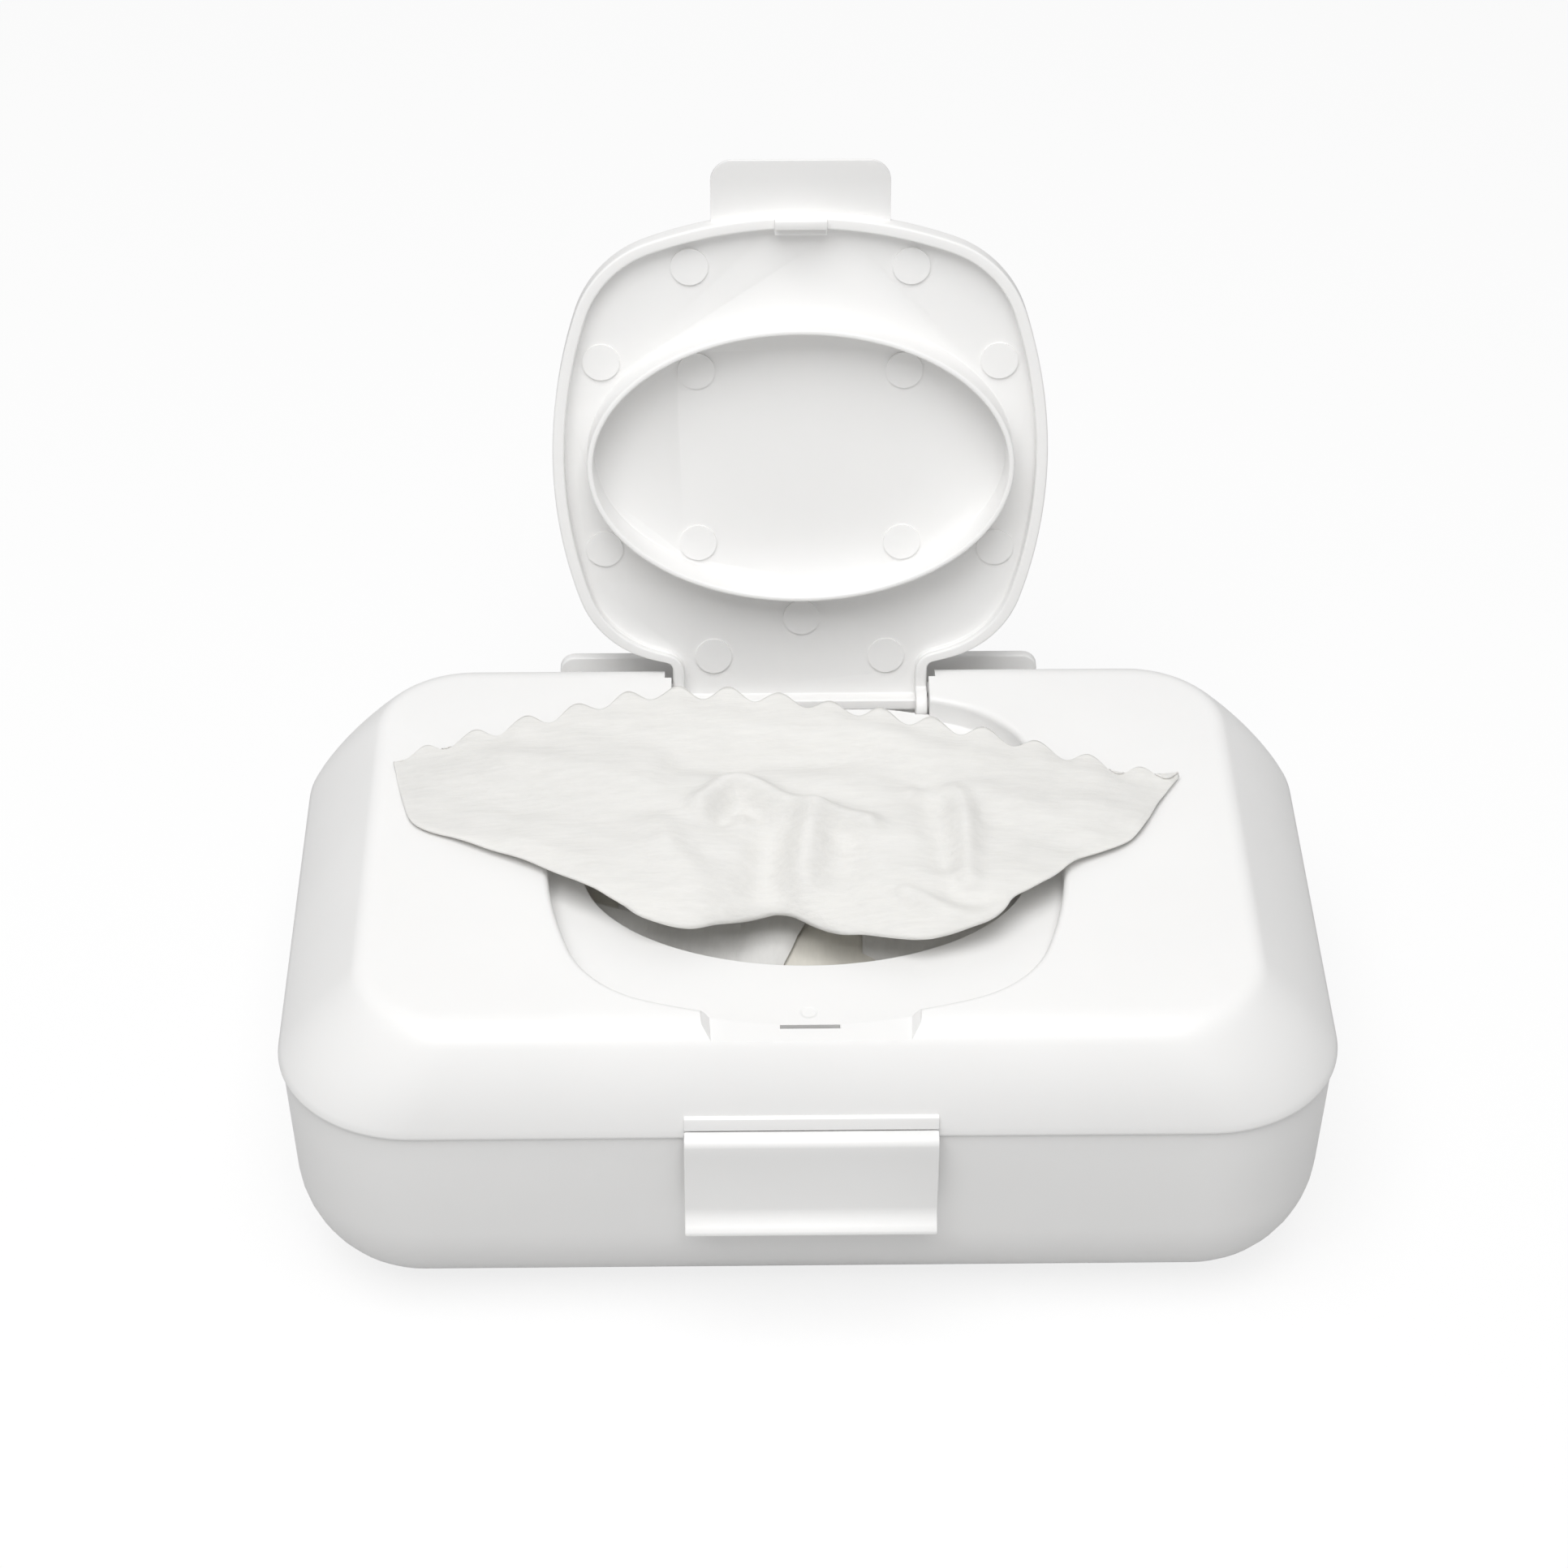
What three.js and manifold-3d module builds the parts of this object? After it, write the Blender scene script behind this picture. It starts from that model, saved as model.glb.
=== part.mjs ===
// Wet wipes dispenser: a moulded tub, a hinged top cover with a front clip,
// a flip lid over an oval opening, a stack of folded wipes and the wipe pulled through.
// Millimetres, +Z up, origin at the middle of the tub's underside, front towards -Y.
import * as THREE from "three";
import { mergeVertices } from "three/addons/utils/BufferGeometryUtils.js";
import Module from "manifold-3d";

const wasm = await Module();
wasm.setup();

// Whole box. Faces that meet keep the touch gap, faces that slide or swing keep the running gap
const boxWidth = 190;
const boxDepth = 122;
const boxHeight = 65.5;
const rimHeight = 46.4;
const cornerRadius = 25;
const touchGap = 0.3;
const runningGap = 0.4;

// Tub, with a locating lip inside its rim at the front and sides
const tubWall = 1.8;
const tubFloor = 2.2;
const tubInset = 0.6;
const tubDraft = 0.049;
const footRadius = 22;
const lip = { height: 3.4, wall: 1.3, root: 3.9, blend: 2.6, rearEnd: 34 };

// Top cover: flat top, round edge, and a slope that steepens from the edge to the rim
const coverWall = 1.8;
const rimLand = 0.6;
const sideSlope = { edgeRadius: 4.5, edgeAngle: 45, meanAngle: 51, rimAngle: 62 };
const endSlope = { edgeRadius: 7.6, edgeAngle: 55, meanAngle: 68.6, rimAngle: 80 };

// Recess for the flip lid, a bulged square made of arcs, with an oval opening in its floor
const recessMargin = 15.5;
const recessHalfY = 47.9;
const recess = {
  centreY: boxDepth / 2 - recessMargin - recessHalfY,
  halfX: 47.3,
  halfY: recessHalfY,
  sideArc: 91.7,
  endArc: 86.9,
  cornerArc: 22.3,
};
const recessDepth = 5.3;
const recessFloor = 1.6;
const openingShift = 0.4;
const opening = { centreY: recess.centreY - openingShift, halfX: 41, halfY: 27.8 };
const tabSeat = { halfWidth: 17.1, depth: 2.6, length: 5.4, reach: 4, fall: 0.6, foot: 1.6 };
const catchSlot = { halfWidth: 5.8, back: 1, depth: 4.4, height: 3.6 };

// Flip lid, its finger tab and hook, and the ring that drops into the opening
const lidPlate = 1.8;
const lidSkirt = 2.2;
const ring = { gap: 0.7, wall: 1.2, reach: 5 };
const tab = { halfWidth: 16.7, length: 10.6, droop: 3, cornerRadius: 4.5, root: 2.4, tipWall: 0.9 };
const hook = { halfWidth: 4.9, wall: 1.6, reach: 2.2, step: 0.2 };

// Flip lid hinge: a neck behind the lid with a barrel and two end pins, in a pocket of the cover
const neck = { halfWidth: 24.6, cheek: 2, reach: 6, barrelWall: 1.6 };
const lidHinge = { setBack: 2.1, drop: 6, pinRadius: 1.8, pinLength: 4.4 };
const lidHingeY = recess.centreY + recess.halfY + lidHinge.setBack;
const lidHingeZ = boxHeight - lidHinge.drop;
const lidOpenAngle = 103.7;
const pocket = { sideGap: 1.6, sweepGap: 0.5, reach: 5, rearDrop: 1.6, lugWall: 3.2 };
const pinPlay = 0.3;

// Cover hinge: a pin across a notch in the tub's rear plate, two knuckles of the cover on it
const rearPlate = { halfWidth: 46.9, wall: 1.9, belowTop: 4.1, belowRim: 19.4, footing: 3, cornerRadius: 3 };
const coverHinge = { belowPlateTop: 2.5, pinRadius: 1.6, pinSeat: 3, sleeveWall: 1.4, webDrop: 4.3, webTop: 1.5 };
const knuckle = { inner: 6, outer: 19.6 };

// Front clip: flange on the cover, hanging plate with a lip, and a nib under the tub's rib
const clip = { halfWidth: 22.3, wall: 1.6, height: 20.6, standOff: 2.8, lipFlare: 2.4, lipHeight: 3.8 };
const clipShoulder = { flat: 0.9, round: 1.8, drop: 3.6, webDrop: 2.6 };
const clipFlange = { height: 2.4, standOff: 0.6 };
const clipHingeRise = 1.8;
const clipNib = { halfWidth: 17, drop: 12.8, height: 2, reach: 1.2 };
const catchRib = { height: 2, proud: 1.3 };

// Wipes: the folded stack in the tub, and the one pulled up through the opening
const stack = { halfX: 77, halfY: 41, shift: 4.5, headroom: 8.7, edgeRadius: 7, chamfer: 10, crown: 3 };
const wipe = {
  width: 152,
  thickness: 1.2,
  farCorner: 18,
  farBow: 16,
  nearCorner: 2,
  nearBow: 26,
  nearWave: 4,
  crown: 7.5,
  foldHeight: 2.4,
  foldPitch: 9.5,
  dip: 2.6,
  dipHalfX: 38,
  scallopDepth: 1.3,
  scallopPitch: 9.3,
};
const wipeColumns = 98;
const wipeRows = 10;

const plastic = new THREE.MeshStandardMaterial({ color: 0xf4f4f2, roughness: 0.42, metalness: 0 });
const wetCloth = new THREE.MeshStandardMaterial({ color: 0xeeedea, roughness: 0.85, metalness: 0 });
const creamCloth = new THREE.MeshStandardMaterial({ color: 0xe9e3d2, roughness: 0.9, metalness: 0 });

const coverHeight = boxHeight - rimHeight;
const recessZ = boxHeight - recessDepth;
const degrees = Math.PI / 180;
const cutOver = 1;

// Solids: every closed shape below becomes one of these before it is cut or joined
function toSolid(geometry) {
  const bare = geometry.index ? geometry.clone() : geometry;
  bare.deleteAttribute("normal");
  bare.deleteAttribute("uv");
  const merged = mergeVertices(bare, 1e-4);
  return new wasm.Manifold(new wasm.Mesh({
    numProp: 3,
    vertProperties: new Float32Array(merged.attributes.position.array),
    triVerts: new Uint32Array(merged.index.array),
  }));
}

function toGeometry(solid) {
  const mesh = solid.getMesh();
  const geometry = new THREE.BufferGeometry();
  geometry.setAttribute("position", new THREE.BufferAttribute(new Float32Array(mesh.vertProperties), 3));
  geometry.setIndex(new THREE.BufferAttribute(new Uint32Array(mesh.triVerts), 1));
  geometry.computeVertexNormals();
  return geometry;
}

function joined(solids) {
  return solids.reduce((all, next) => all.add(next));
}

// Outlines in plan, anticlockwise seen from above
function roundedBox(halfX, halfY, radius, steps = 9) {
  const points = [];
  const corners = [[1, 1], [-1, 1], [-1, -1], [1, -1]];
  corners.forEach(([signX, signY], quarter) => {
    for (let i = 0; i <= steps; i++) {
      const angle = (quarter + i / steps) * (Math.PI / 2);
      const x = signX * (halfX - radius) + radius * Math.cos(angle);
      const y = signY * (halfY - radius) + radius * Math.sin(angle);
      points.push([x, y]);
    }
  });
  return points;
}

function ellipse(shape, offset, steps = 56) {
  return Array.from({ length: steps }, (_, i) => {
    const angle = (2 * Math.PI * i) / steps;
    return [(shape.halfX + offset) * Math.cos(angle), shape.centreY + (shape.halfY + offset) * Math.sin(angle)];
  });
}

// Quarter of the bulged square: side arc, corner arc and end arc, tangent to each other
function bulgedQuarter(shape, offset) {
  const side = new THREE.Vector2(shape.halfX - shape.sideArc, 0);
  const end = new THREE.Vector2(0, shape.halfY - shape.endArc);
  const sideReach = shape.sideArc - shape.cornerArc;
  const endReach = shape.endArc - shape.cornerArc;
  const gap = end.clone().sub(side);
  const along = (sideReach ** 2 - endReach ** 2 + gap.lengthSq()) / (2 * gap.length());
  const across = Math.sqrt(sideReach ** 2 - along ** 2);
  const unit = gap.clone().normalize();
  const outward = new THREE.Vector2(-unit.y, unit.x);
  const corner = side.clone().addScaledVector(unit, along).addScaledVector(outward, across);
  const sideAngle = corner.clone().sub(side).angle();
  const endAngle = corner.clone().sub(end).angle();
  const points = [];
  const arc = (centre, radius, from, to, steps) => {
    for (let i = 0; i < steps; i++) {
      const angle = from + ((to - from) * i) / steps;
      points.push([centre.x + (radius + offset) * Math.cos(angle), centre.y + (radius + offset) * Math.sin(angle)]);
    }
  };
  arc(side, shape.sideArc, 0, sideAngle, 4);
  arc(corner, shape.cornerArc, sideAngle, endAngle, 6);
  arc(end, shape.endArc, endAngle, Math.PI / 2, 5);
  return points;
}

function bulgedSquare(shape, offset) {
  const quarter = bulgedQuarter(shape, offset);
  const tip = [0, shape.halfY + offset];
  const left = [tip, ...quarter.slice(1).reverse().map(([x, y]) => [-x, y])];
  const upper = [...quarter, ...left];
  const lower = upper.map(([x, y]) => [-x, -y]);
  return [...upper, ...lower].map(([x, y]) => [x, y + shape.centreY]);
}

// Closed body through outlines of equal count, listed from the lowest up
function loft(levels) {
  const count = levels[0].outline.length;
  const positions = levels.flatMap(({ outline, z }) => outline.flatMap(([x, y]) => [x, y, z]));
  const index = [];
  for (let level = 0; level < levels.length - 1; level++) {
    for (let i = 0; i < count; i++) {
      const a = level * count + i;
      const b = level * count + ((i + 1) % count);
      index.push(a, b, b + count, a, b + count, a + count);
    }
  }
  const cap = (level, upward) => {
    const contour = levels[level].outline.map(([x, y]) => new THREE.Vector2(x, y));
    for (const [a, b, c] of THREE.ShapeUtils.triangulateShape(contour, [])) {
      const base = level * count;
      index.push(...(upward ? [base + a, base + b, base + c] : [base + a, base + c, base + b]));
    }
  };
  cap(0, false);
  cap(levels.length - 1, true);
  const geometry = new THREE.BufferGeometry();
  geometry.setAttribute("position", new THREE.Float32BufferAttribute(positions, 3));
  geometry.setIndex(index);
  return toSolid(geometry);
}

function prism(outline, low, high) {
  return loft([{ outline, z: low }, { outline, z: high }]);
}

function block(x0, x1, y0, y1, z0, z1) {
  const geometry = new THREE.BoxGeometry(x1 - x0, y1 - y0, z1 - z0);
  return toSolid(geometry.translate((x0 + x1) / 2, (y0 + y1) / 2, (z0 + z1) / 2));
}

function rod(x0, x1, y, z, radius, steps = 20) {
  const geometry = new THREE.CylinderGeometry(radius, radius, x1 - x0, steps);
  return toSolid(geometry.rotateZ(-Math.PI / 2).translate((x0 + x1) / 2, y, z));
}

// Bar of constant section along X, its section given as [y, z] points
function bar(section, x0, x1) {
  const shape = new THREE.Shape(section.map(([y, z]) => new THREE.Vector2(y, z)));
  const geometry = new THREE.ExtrudeGeometry(shape, { depth: x1 - x0, bevelEnabled: false, steps: 1 });
  geometry.applyMatrix4(new THREE.Matrix4().set(0, 0, 1, x0, 1, 0, 0, 0, 0, 1, 0, 0, 0, 0, 0, 1));
  return toSolid(geometry);
}

function arcPoints(y, z, radius, from, to, steps) {
  return Array.from({ length: steps + 1 }, (_, i) => {
    const angle = (from + ((to - from) * i) / steps) * degrees;
    return [y + radius * Math.cos(angle), z + radius * Math.sin(angle)];
  });
}

// How far the cover's surface lies inside its rim, a given drop below the flat top
function slopeInset(drop, slope) {
  const { edgeRadius, edgeAngle, meanAngle, rimAngle } = slope;
  const fall = coverHeight - rimLand;
  const startDrop = edgeRadius * (1 - Math.cos(edgeAngle * degrees));
  const startInset = (fall - startDrop) / Math.tan(meanAngle * degrees);
  if (drop <= startDrop) {
    const flatInset = startInset + edgeRadius * Math.sin(edgeAngle * degrees);
    return flatInset - Math.sqrt(edgeRadius ** 2 - (edgeRadius - drop) ** 2);
  }
  if (drop >= fall) return 0;
  const steep = Math.tan(rimAngle * degrees);
  const run = (fall - startDrop - startInset * steep)
    / (Math.sin(edgeAngle * degrees) - steep * Math.cos(edgeAngle * degrees));
  const bendInset = startInset - run * Math.cos(edgeAngle * degrees);
  const bendDrop = startDrop + run * Math.sin(edgeAngle * degrees);
  const a = startDrop - 2 * bendDrop + fall;
  const b = 2 * (bendDrop - startDrop);
  const t = (-b + Math.sqrt(b * b + 4 * a * (drop - startDrop))) / (2 * a);
  return (1 - t) ** 2 * startInset + 2 * t * (1 - t) * bendInset;
}

function coverOutline(drop, offset) {
  const insetX = slopeInset(drop, sideSlope) - offset;
  const insetY = slopeInset(drop, endSlope) - offset;
  return roundedBox(boxWidth / 2 - insetX, boxDepth / 2 - insetY, cornerRadius - insetY * 0.9);
}

// Levels crowd towards the round edge at the top, where the surface turns fastest
function coverEnvelope(offset, sink) {
  const steps = 10;
  const levels = [{ outline: coverOutline(coverHeight, offset), z: rimHeight - sink }];
  for (let i = steps; i >= 0; i--) {
    const drop = (coverHeight - rimLand) * (i / steps) ** 1.8;
    levels.push({ outline: coverOutline(drop, offset), z: boxHeight - drop - sink });
  }
  return loft(levels);
}

// y of the cover's front or rear surface at a height
function coverEndY(z) {
  return boxDepth / 2 - slopeInset(boxHeight - z, endSlope);
}

// Tub outline at a height, inset from the rim by the draft and the rounded foot
function tubOutline(z, wall, foot) {
  const draft = tubInset + tubDraft * (rimHeight - z);
  const rise = Math.min(Math.max(foot - (z - (wall > 0 ? tubFloor : 0)), 0), foot);
  const inset = draft + wall + foot - Math.sqrt(foot ** 2 - rise ** 2);
  return roundedBox(boxWidth / 2 - inset, boxDepth / 2 - inset, Math.max(cornerRadius - inset, tubWall));
}

function footLevels(low, foot) {
  return [0, 15, 30, 45, 60, 75, 90].map((angle) => low + foot * (1 - Math.cos(angle * degrees)));
}

function lipOutline(inset) {
  return roundedBox(boxWidth / 2 - inset, boxDepth / 2 - inset, cornerRadius - inset);
}

function makeTub() {
  const top = rimHeight - touchGap;
  const outer = loft([...footLevels(0, footRadius), top].map((z) => ({ outline: tubOutline(z, 0, footRadius), z })));
  const innerFoot = footRadius - tubWall;
  const lipTop = rimHeight + lip.height;
  const lipInset = coverWall + slopeInset(boxHeight - lipTop - coverWall, sideSlope) + runningGap;
  const lipRoot = rimHeight - lip.root;
  const wallEnd = lipRoot - lip.blend;
  const inside = loft([
    ...footLevels(tubFloor, innerFoot).map((z) => ({ outline: tubOutline(z, tubWall, innerFoot), z })),
    { outline: tubOutline(wallEnd, tubWall, innerFoot), z: wallEnd },
    { outline: lipOutline(lipInset + lip.wall), z: lipRoot },
    { outline: lipOutline(lipInset + lip.wall), z: lipTop + cutOver },
  ]);
  const lipBand = prism(lipOutline(lipInset), lipRoot, lipTop)
    .subtract(block(-boxWidth, boxWidth, lip.rearEnd, boxDepth, top, boxHeight));
  const behind = block(-boxWidth, boxWidth, boxDepth / 2 - tubInset, boxDepth, 0, boxHeight);
  return joined([outer, lipBand, makeRearPlate(top), makeCatchRib()]).subtract(inside.subtract(behind));
}

// Plate behind the tub that carries the cover's hinge pin across a notch in its top edge
function makeRearPlate(rimTop) {
  const { halfWidth, wall, cornerRadius: corner } = rearPlate;
  const front = boxDepth / 2 + runningGap;
  const top = boxHeight - rearPlate.belowTop;
  const root = rimHeight - rearPlate.belowRim;
  const shape = new THREE.Shape();
  shape.moveTo(-halfWidth, root);
  shape.lineTo(halfWidth, root);
  shape.absarc(halfWidth - corner, top - corner, corner, 0, Math.PI / 2);
  shape.absarc(-halfWidth + corner, top - corner, corner, Math.PI / 2, Math.PI);
  const flat = new THREE.ExtrudeGeometry(shape, { depth: wall, bevelEnabled: false, curveSegments: 4 });
  const plate = toSolid(flat.rotateX(Math.PI / 2).translate(0, front + wall, 0));
  const tubRearY = boxDepth / 2 - tubInset - tubDraft * rearPlate.belowRim - tubWall / 2;
  const footing = bar([
    [tubRearY, root - rearPlate.footing],
    [front + wall, root],
    [front + wall, rimTop],
    [tubRearY, rimTop],
  ], -halfWidth, halfWidth);
  const { y, z } = coverHingeAt();
  const notchHalf = knuckle.outer + runningGap;
  const sleeve = coverHinge.pinRadius + pinPlay + coverHinge.sleeveWall;
  const notch = block(-notchHalf, notchHalf, front - cutOver, front + wall + cutOver, z - sleeve - runningGap, boxHeight);
  const pinReach = notchHalf + coverHinge.pinSeat;
  return plate.subtract(notch).add(footing).add(rod(-pinReach, pinReach, y, z, coverHinge.pinRadius));
}

function makeCatchRib() {
  const low = clipHingeAt().z - clipNib.drop + touchGap;
  const wallY = -boxDepth / 2 + tubInset + tubWall;
  const frontY = -(boxDepth / 2 + touchGap + catchRib.proud - tubInset);
  return bar([
    [frontY, low],
    [frontY, low + catchRib.height],
    [wallY, low + 2 * catchRib.height],
    [wallY, low],
  ].reverse(), -clipNib.halfWidth, clipNib.halfWidth);
}

function coverHingeAt() {
  return {
    y: boxDepth / 2 + runningGap + rearPlate.wall / 2,
    z: boxHeight - rearPlate.belowTop - coverHinge.belowPlateTop,
  };
}

function clipHingeAt() {
  const z = rimHeight + clipHingeRise;
  return { y: -(coverEndY(z) + clipFlange.standOff), z };
}

// Pocket that the lid's neck swings in, open upwards and to the rear, and its walls
function pocketSpace(grow, sideWall) {
  const sweep = lidHinge.drop + pocket.sweepGap + grow;
  const halfWidth = neck.halfWidth + pocket.sideGap + sideWall;
  const front = recess.centreY + recess.halfY - pocket.reach - grow;
  return block(-halfWidth, halfWidth, front, lidHingeY + sweep, lidHingeZ - sweep, boxHeight + cutOver);
}

function pocketRearCut() {
  const halfWidth = neck.halfWidth + pocket.sideGap;
  return block(-halfWidth, halfWidth, lidHingeY, boxDepth, lidHingeZ - pocket.rearDrop, boxHeight + cutOver);
}

// Knuckle: a bored sleeve on the rear hinge pin, with a web to the cover's rear wall
function makeKnuckles() {
  const { y, z } = coverHingeAt();
  const bore = coverHinge.pinRadius + pinPlay;
  const sleeve = bore + coverHinge.sleeveWall;
  const webLow = z - coverHinge.webDrop;
  const wallTop = lidHingeZ - pocket.rearDrop;
  const web = [
    [coverEndY(webLow) - coverWall / 2, webLow],
    [boxDepth / 2 - runningGap, webLow],
    [y - bore, z - bore],
    [y - bore, z + coverHinge.webTop],
    [coverEndY(wallTop) - coverWall / 2, wallTop],
  ];
  const knuckles = [[-knuckle.outer, -knuckle.inner], [knuckle.inner, knuckle.outer]].map(([x0, x1]) => {
    const hole = rod(x0 - cutOver, x1 + cutOver, y, z, bore);
    return bar(web, x0, x1).add(rod(x0, x1, y, z, sleeve)).subtract(hole);
  });
  return joined(knuckles);
}

// Flange on the cover's front slope that the clip hangs from
function makeClipFlange() {
  const hinge = clipHingeAt();
  const low = hinge.z + touchGap;
  const inner = -coverEndY(hinge.z) + coverWall / 2;
  return bar([
    [hinge.y, low],
    [inner, low],
    [inner, low + clipFlange.height],
    [hinge.y + touchGap, low + clipFlange.height],
  ], -clip.halfWidth, clip.halfWidth);
}

// Shallow seat under the finger tab, cut into the cover's front edge
function tabSeatSpace() {
  const edgeY = recess.centreY - recess.halfY;
  const front = edgeY - tabSeat.length;
  const back = edgeY + tabSeat.reach;
  const low = boxHeight - tabSeat.depth;
  return bar([
    [front, low],
    [back, low + tabSeat.fall],
    [back, boxHeight + cutOver],
    [front - tabSeat.reach, boxHeight + cutOver],
    [front - tabSeat.reach, low - tabSeat.foot],
  ], -tabSeat.halfWidth, tabSeat.halfWidth);
}

function makeCover() {
  const outer = coverEnvelope(0, 0);
  const hollow = coverEnvelope(-coverWall, coverWall);
  const bowl = prism(bulgedSquare(recess, recessFloor), recessZ - recessFloor, boxHeight).intersect(outer);
  const pocketWalls = pocketSpace(coverWall, pocket.lugWall).intersect(outer);
  const slotY = recess.centreY - recess.halfY - catchSlot.back;
  const slot = block(-catchSlot.halfWidth, catchSlot.halfWidth, slotY, slotY + catchSlot.depth,
    recessZ - recessFloor - cutOver, recessZ + catchSlot.height);
  const boreReach = neck.halfWidth + pocket.sideGap + pocket.lugWall;
  const lidBores = rod(-boreReach, boreReach, lidHingeY, lidHingeZ, lidHinge.pinRadius + pinPlay);
  return joined([outer.subtract(hollow), bowl, pocketWalls, makeClipFlange()])
    .subtract(prism(bulgedSquare(recess, 0), recessZ, boxHeight + cutOver))
    .subtract(prism(ellipse(opening, 0), recessZ - recessFloor - cutOver, recessZ + cutOver))
    .subtract(pocketSpace(0, 0))
    .subtract(pocketRearCut())
    .subtract(tabSeatSpace())
    .subtract(slot)
    .subtract(lidBores)
    .add(makeKnuckles());
}

// Lid outline at a height, shut. Behind the middle it draws in towards its lower edge,
// so that the skirt clears the recess wall while the lid swings up about its hinge
function lidLevel(z, inset) {
  const rise = z - lidHingeZ;
  const outline = bulgedSquare(recess, -runningGap - inset).map(([x, y]) => {
    if (y <= recess.centreY) return [x, y];
    const clear = Math.sqrt((lidHingeY - y) ** 2 + lidHinge.drop ** 2 - rise ** 2);
    return [x, lidHingeY - clear];
  });
  return { outline, z };
}

function lidBody(low, high, inset) {
  const steps = 4;
  return loft(Array.from({ length: steps + 1 }, (_, i) => lidLevel(low + ((high - low) * i) / steps, inset)));
}

// The lid is drawn shut, then turned open about its hinge
function makeLid() {
  const top = boxHeight;
  const underPlate = top - lidPlate;
  const skirtLow = recessZ + touchGap;
  const shell = lidBody(skirtLow, top, 0).subtract(lidBody(skirtLow - cutOver, underPlate, lidSkirt));
  const neckFront = recess.centreY + recess.halfY - neck.reach;
  const innerHalf = neck.halfWidth - neck.cheek;
  const passage = block(-innerHalf, innerHalf, neckFront - neck.reach, lidHingeY, skirtLow - cutOver, underPlate);
  const ringShape = { centreY: opening.centreY, halfX: opening.halfX - ring.gap, halfY: opening.halfY - ring.gap };
  const ringLow = recessZ - ring.reach;
  const ringWall = prism(ellipse(ringShape, 0), ringLow, top - lidPlate / 2)
    .subtract(prism(ellipse(ringShape, -ring.wall), ringLow - cutOver, underPlate));
  return joined([shell.subtract(passage), makeNeck(neckFront, skirtLow), ringWall, makeHook(skirtLow), makeTab()]);
}

// Neck: the plate wraps down round the hinge, between two cheeks, over a barrel with end pins
function makeNeck(front, skirtLow) {
  const { drop, pinRadius, pinLength } = lidHinge;
  const barrelRadius = pinRadius + neck.barrelWall;
  const plate = bar([
    [front, boxHeight],
    [front, boxHeight - lidPlate],
    ...arcPoints(lidHingeY, lidHingeZ, drop - lidPlate, 90, 0, 6),
    ...arcPoints(lidHingeY, lidHingeZ, drop, 0, 90, 8),
  ].reverse(), -neck.halfWidth, neck.halfWidth);
  const cheekSection = [
    [front, boxHeight - lidPlate / 2],
    [front, skirtLow],
    ...arcPoints(lidHingeY, lidHingeZ, barrelRadius, 180, 330, 8),
    ...arcPoints(lidHingeY, lidHingeZ, drop - lidPlate / 2, 0, 90, 6),
  ];
  const cheeks = [-neck.halfWidth, neck.halfWidth - neck.cheek].map((x) => bar(cheekSection, x, x + neck.cheek));
  const pinReach = neck.halfWidth + pinLength;
  return joined([
    plate,
    ...cheeks,
    rod(-neck.halfWidth, neck.halfWidth, lidHingeY, lidHingeZ, barrelRadius),
    rod(-pinReach, pinReach, lidHingeY, lidHingeZ, pinRadius),
  ]);
}

function makeHook(skirtLow) {
  const front = recess.centreY - recess.halfY + runningGap + hook.step;
  const wall = block(-hook.halfWidth, hook.halfWidth, front, front + hook.wall + lidSkirt,
    skirtLow, boxHeight - lidPlate / 2);
  const toe = block(-hook.halfWidth, hook.halfWidth, front, front + hook.wall,
    skirtLow - hook.reach, skirtLow + cutOver);
  return wall.add(toe);
}

// Finger tab: leaves the lid's front edge level, then bends down ahead of the slope
function makeTab() {
  const steps = 6;
  const root = recess.centreY - recess.halfY + runningGap + tab.root;
  const length = tab.length + tab.root;
  const upper = [];
  const lower = [];
  for (let i = 0; i <= steps; i++) {
    const t = i / steps;
    const y = root - length * t;
    const z = boxHeight - tab.droop * t * t;
    upper.push([y, z]);
    lower.push([y, z - lidPlate + (lidPlate - tab.tipWall) * t]);
  }
  const strip = bar([...upper, ...lower.reverse()], -tab.halfWidth, tab.halfWidth);
  const plan = roundedBox(tab.halfWidth, length, tab.cornerRadius, 5).map(([x, y]) => [x, y + root]);
  return strip.intersect(prism(plan, boxHeight - tab.droop - lidPlate - cutOver, boxHeight + cutOver));
}

function makeClip() {
  const hinge = clipHingeAt();
  const { flat, round, drop, webDrop } = clipShoulder;
  const face = -(boxDepth / 2 + clip.standOff);
  const inner = face + clip.wall;
  const low = hinge.z - clip.height;
  const lipTop = low + clip.lipHeight;
  const webInner = -(boxDepth / 2 + touchGap);
  const plate = bar([
    [webInner, hinge.z],
    [hinge.y, hinge.z],
    [hinge.y - flat, hinge.z - flat / 2],
    [face + touchGap, hinge.z - round],
    [face, hinge.z - drop],
    [face, lipTop],
    [face - clip.lipFlare * 0.4, lipTop - clip.lipHeight * 0.4],
    [face - clip.lipFlare, low + clip.lipHeight * 0.3],
    [face - clip.lipFlare, low],
    [inner - clip.lipFlare * 0.5, lipTop - clip.lipHeight * 0.8],
    [inner, lipTop],
    [inner, hinge.z - drop - flat],
    [webInner, hinge.z - webDrop],
  ], -clip.halfWidth, clip.halfWidth);
  const nibTop = hinge.z - clipNib.drop;
  const nib = bar([
    [inner - touchGap, nibTop],
    [inner - touchGap, nibTop - 1.5 * clipNib.height],
    [inner + clipNib.reach, nibTop - clipNib.height],
    [inner + clipNib.reach, nibTop],
  ], -clipNib.halfWidth, clipNib.halfWidth);
  return plate.add(nib);
}

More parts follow.
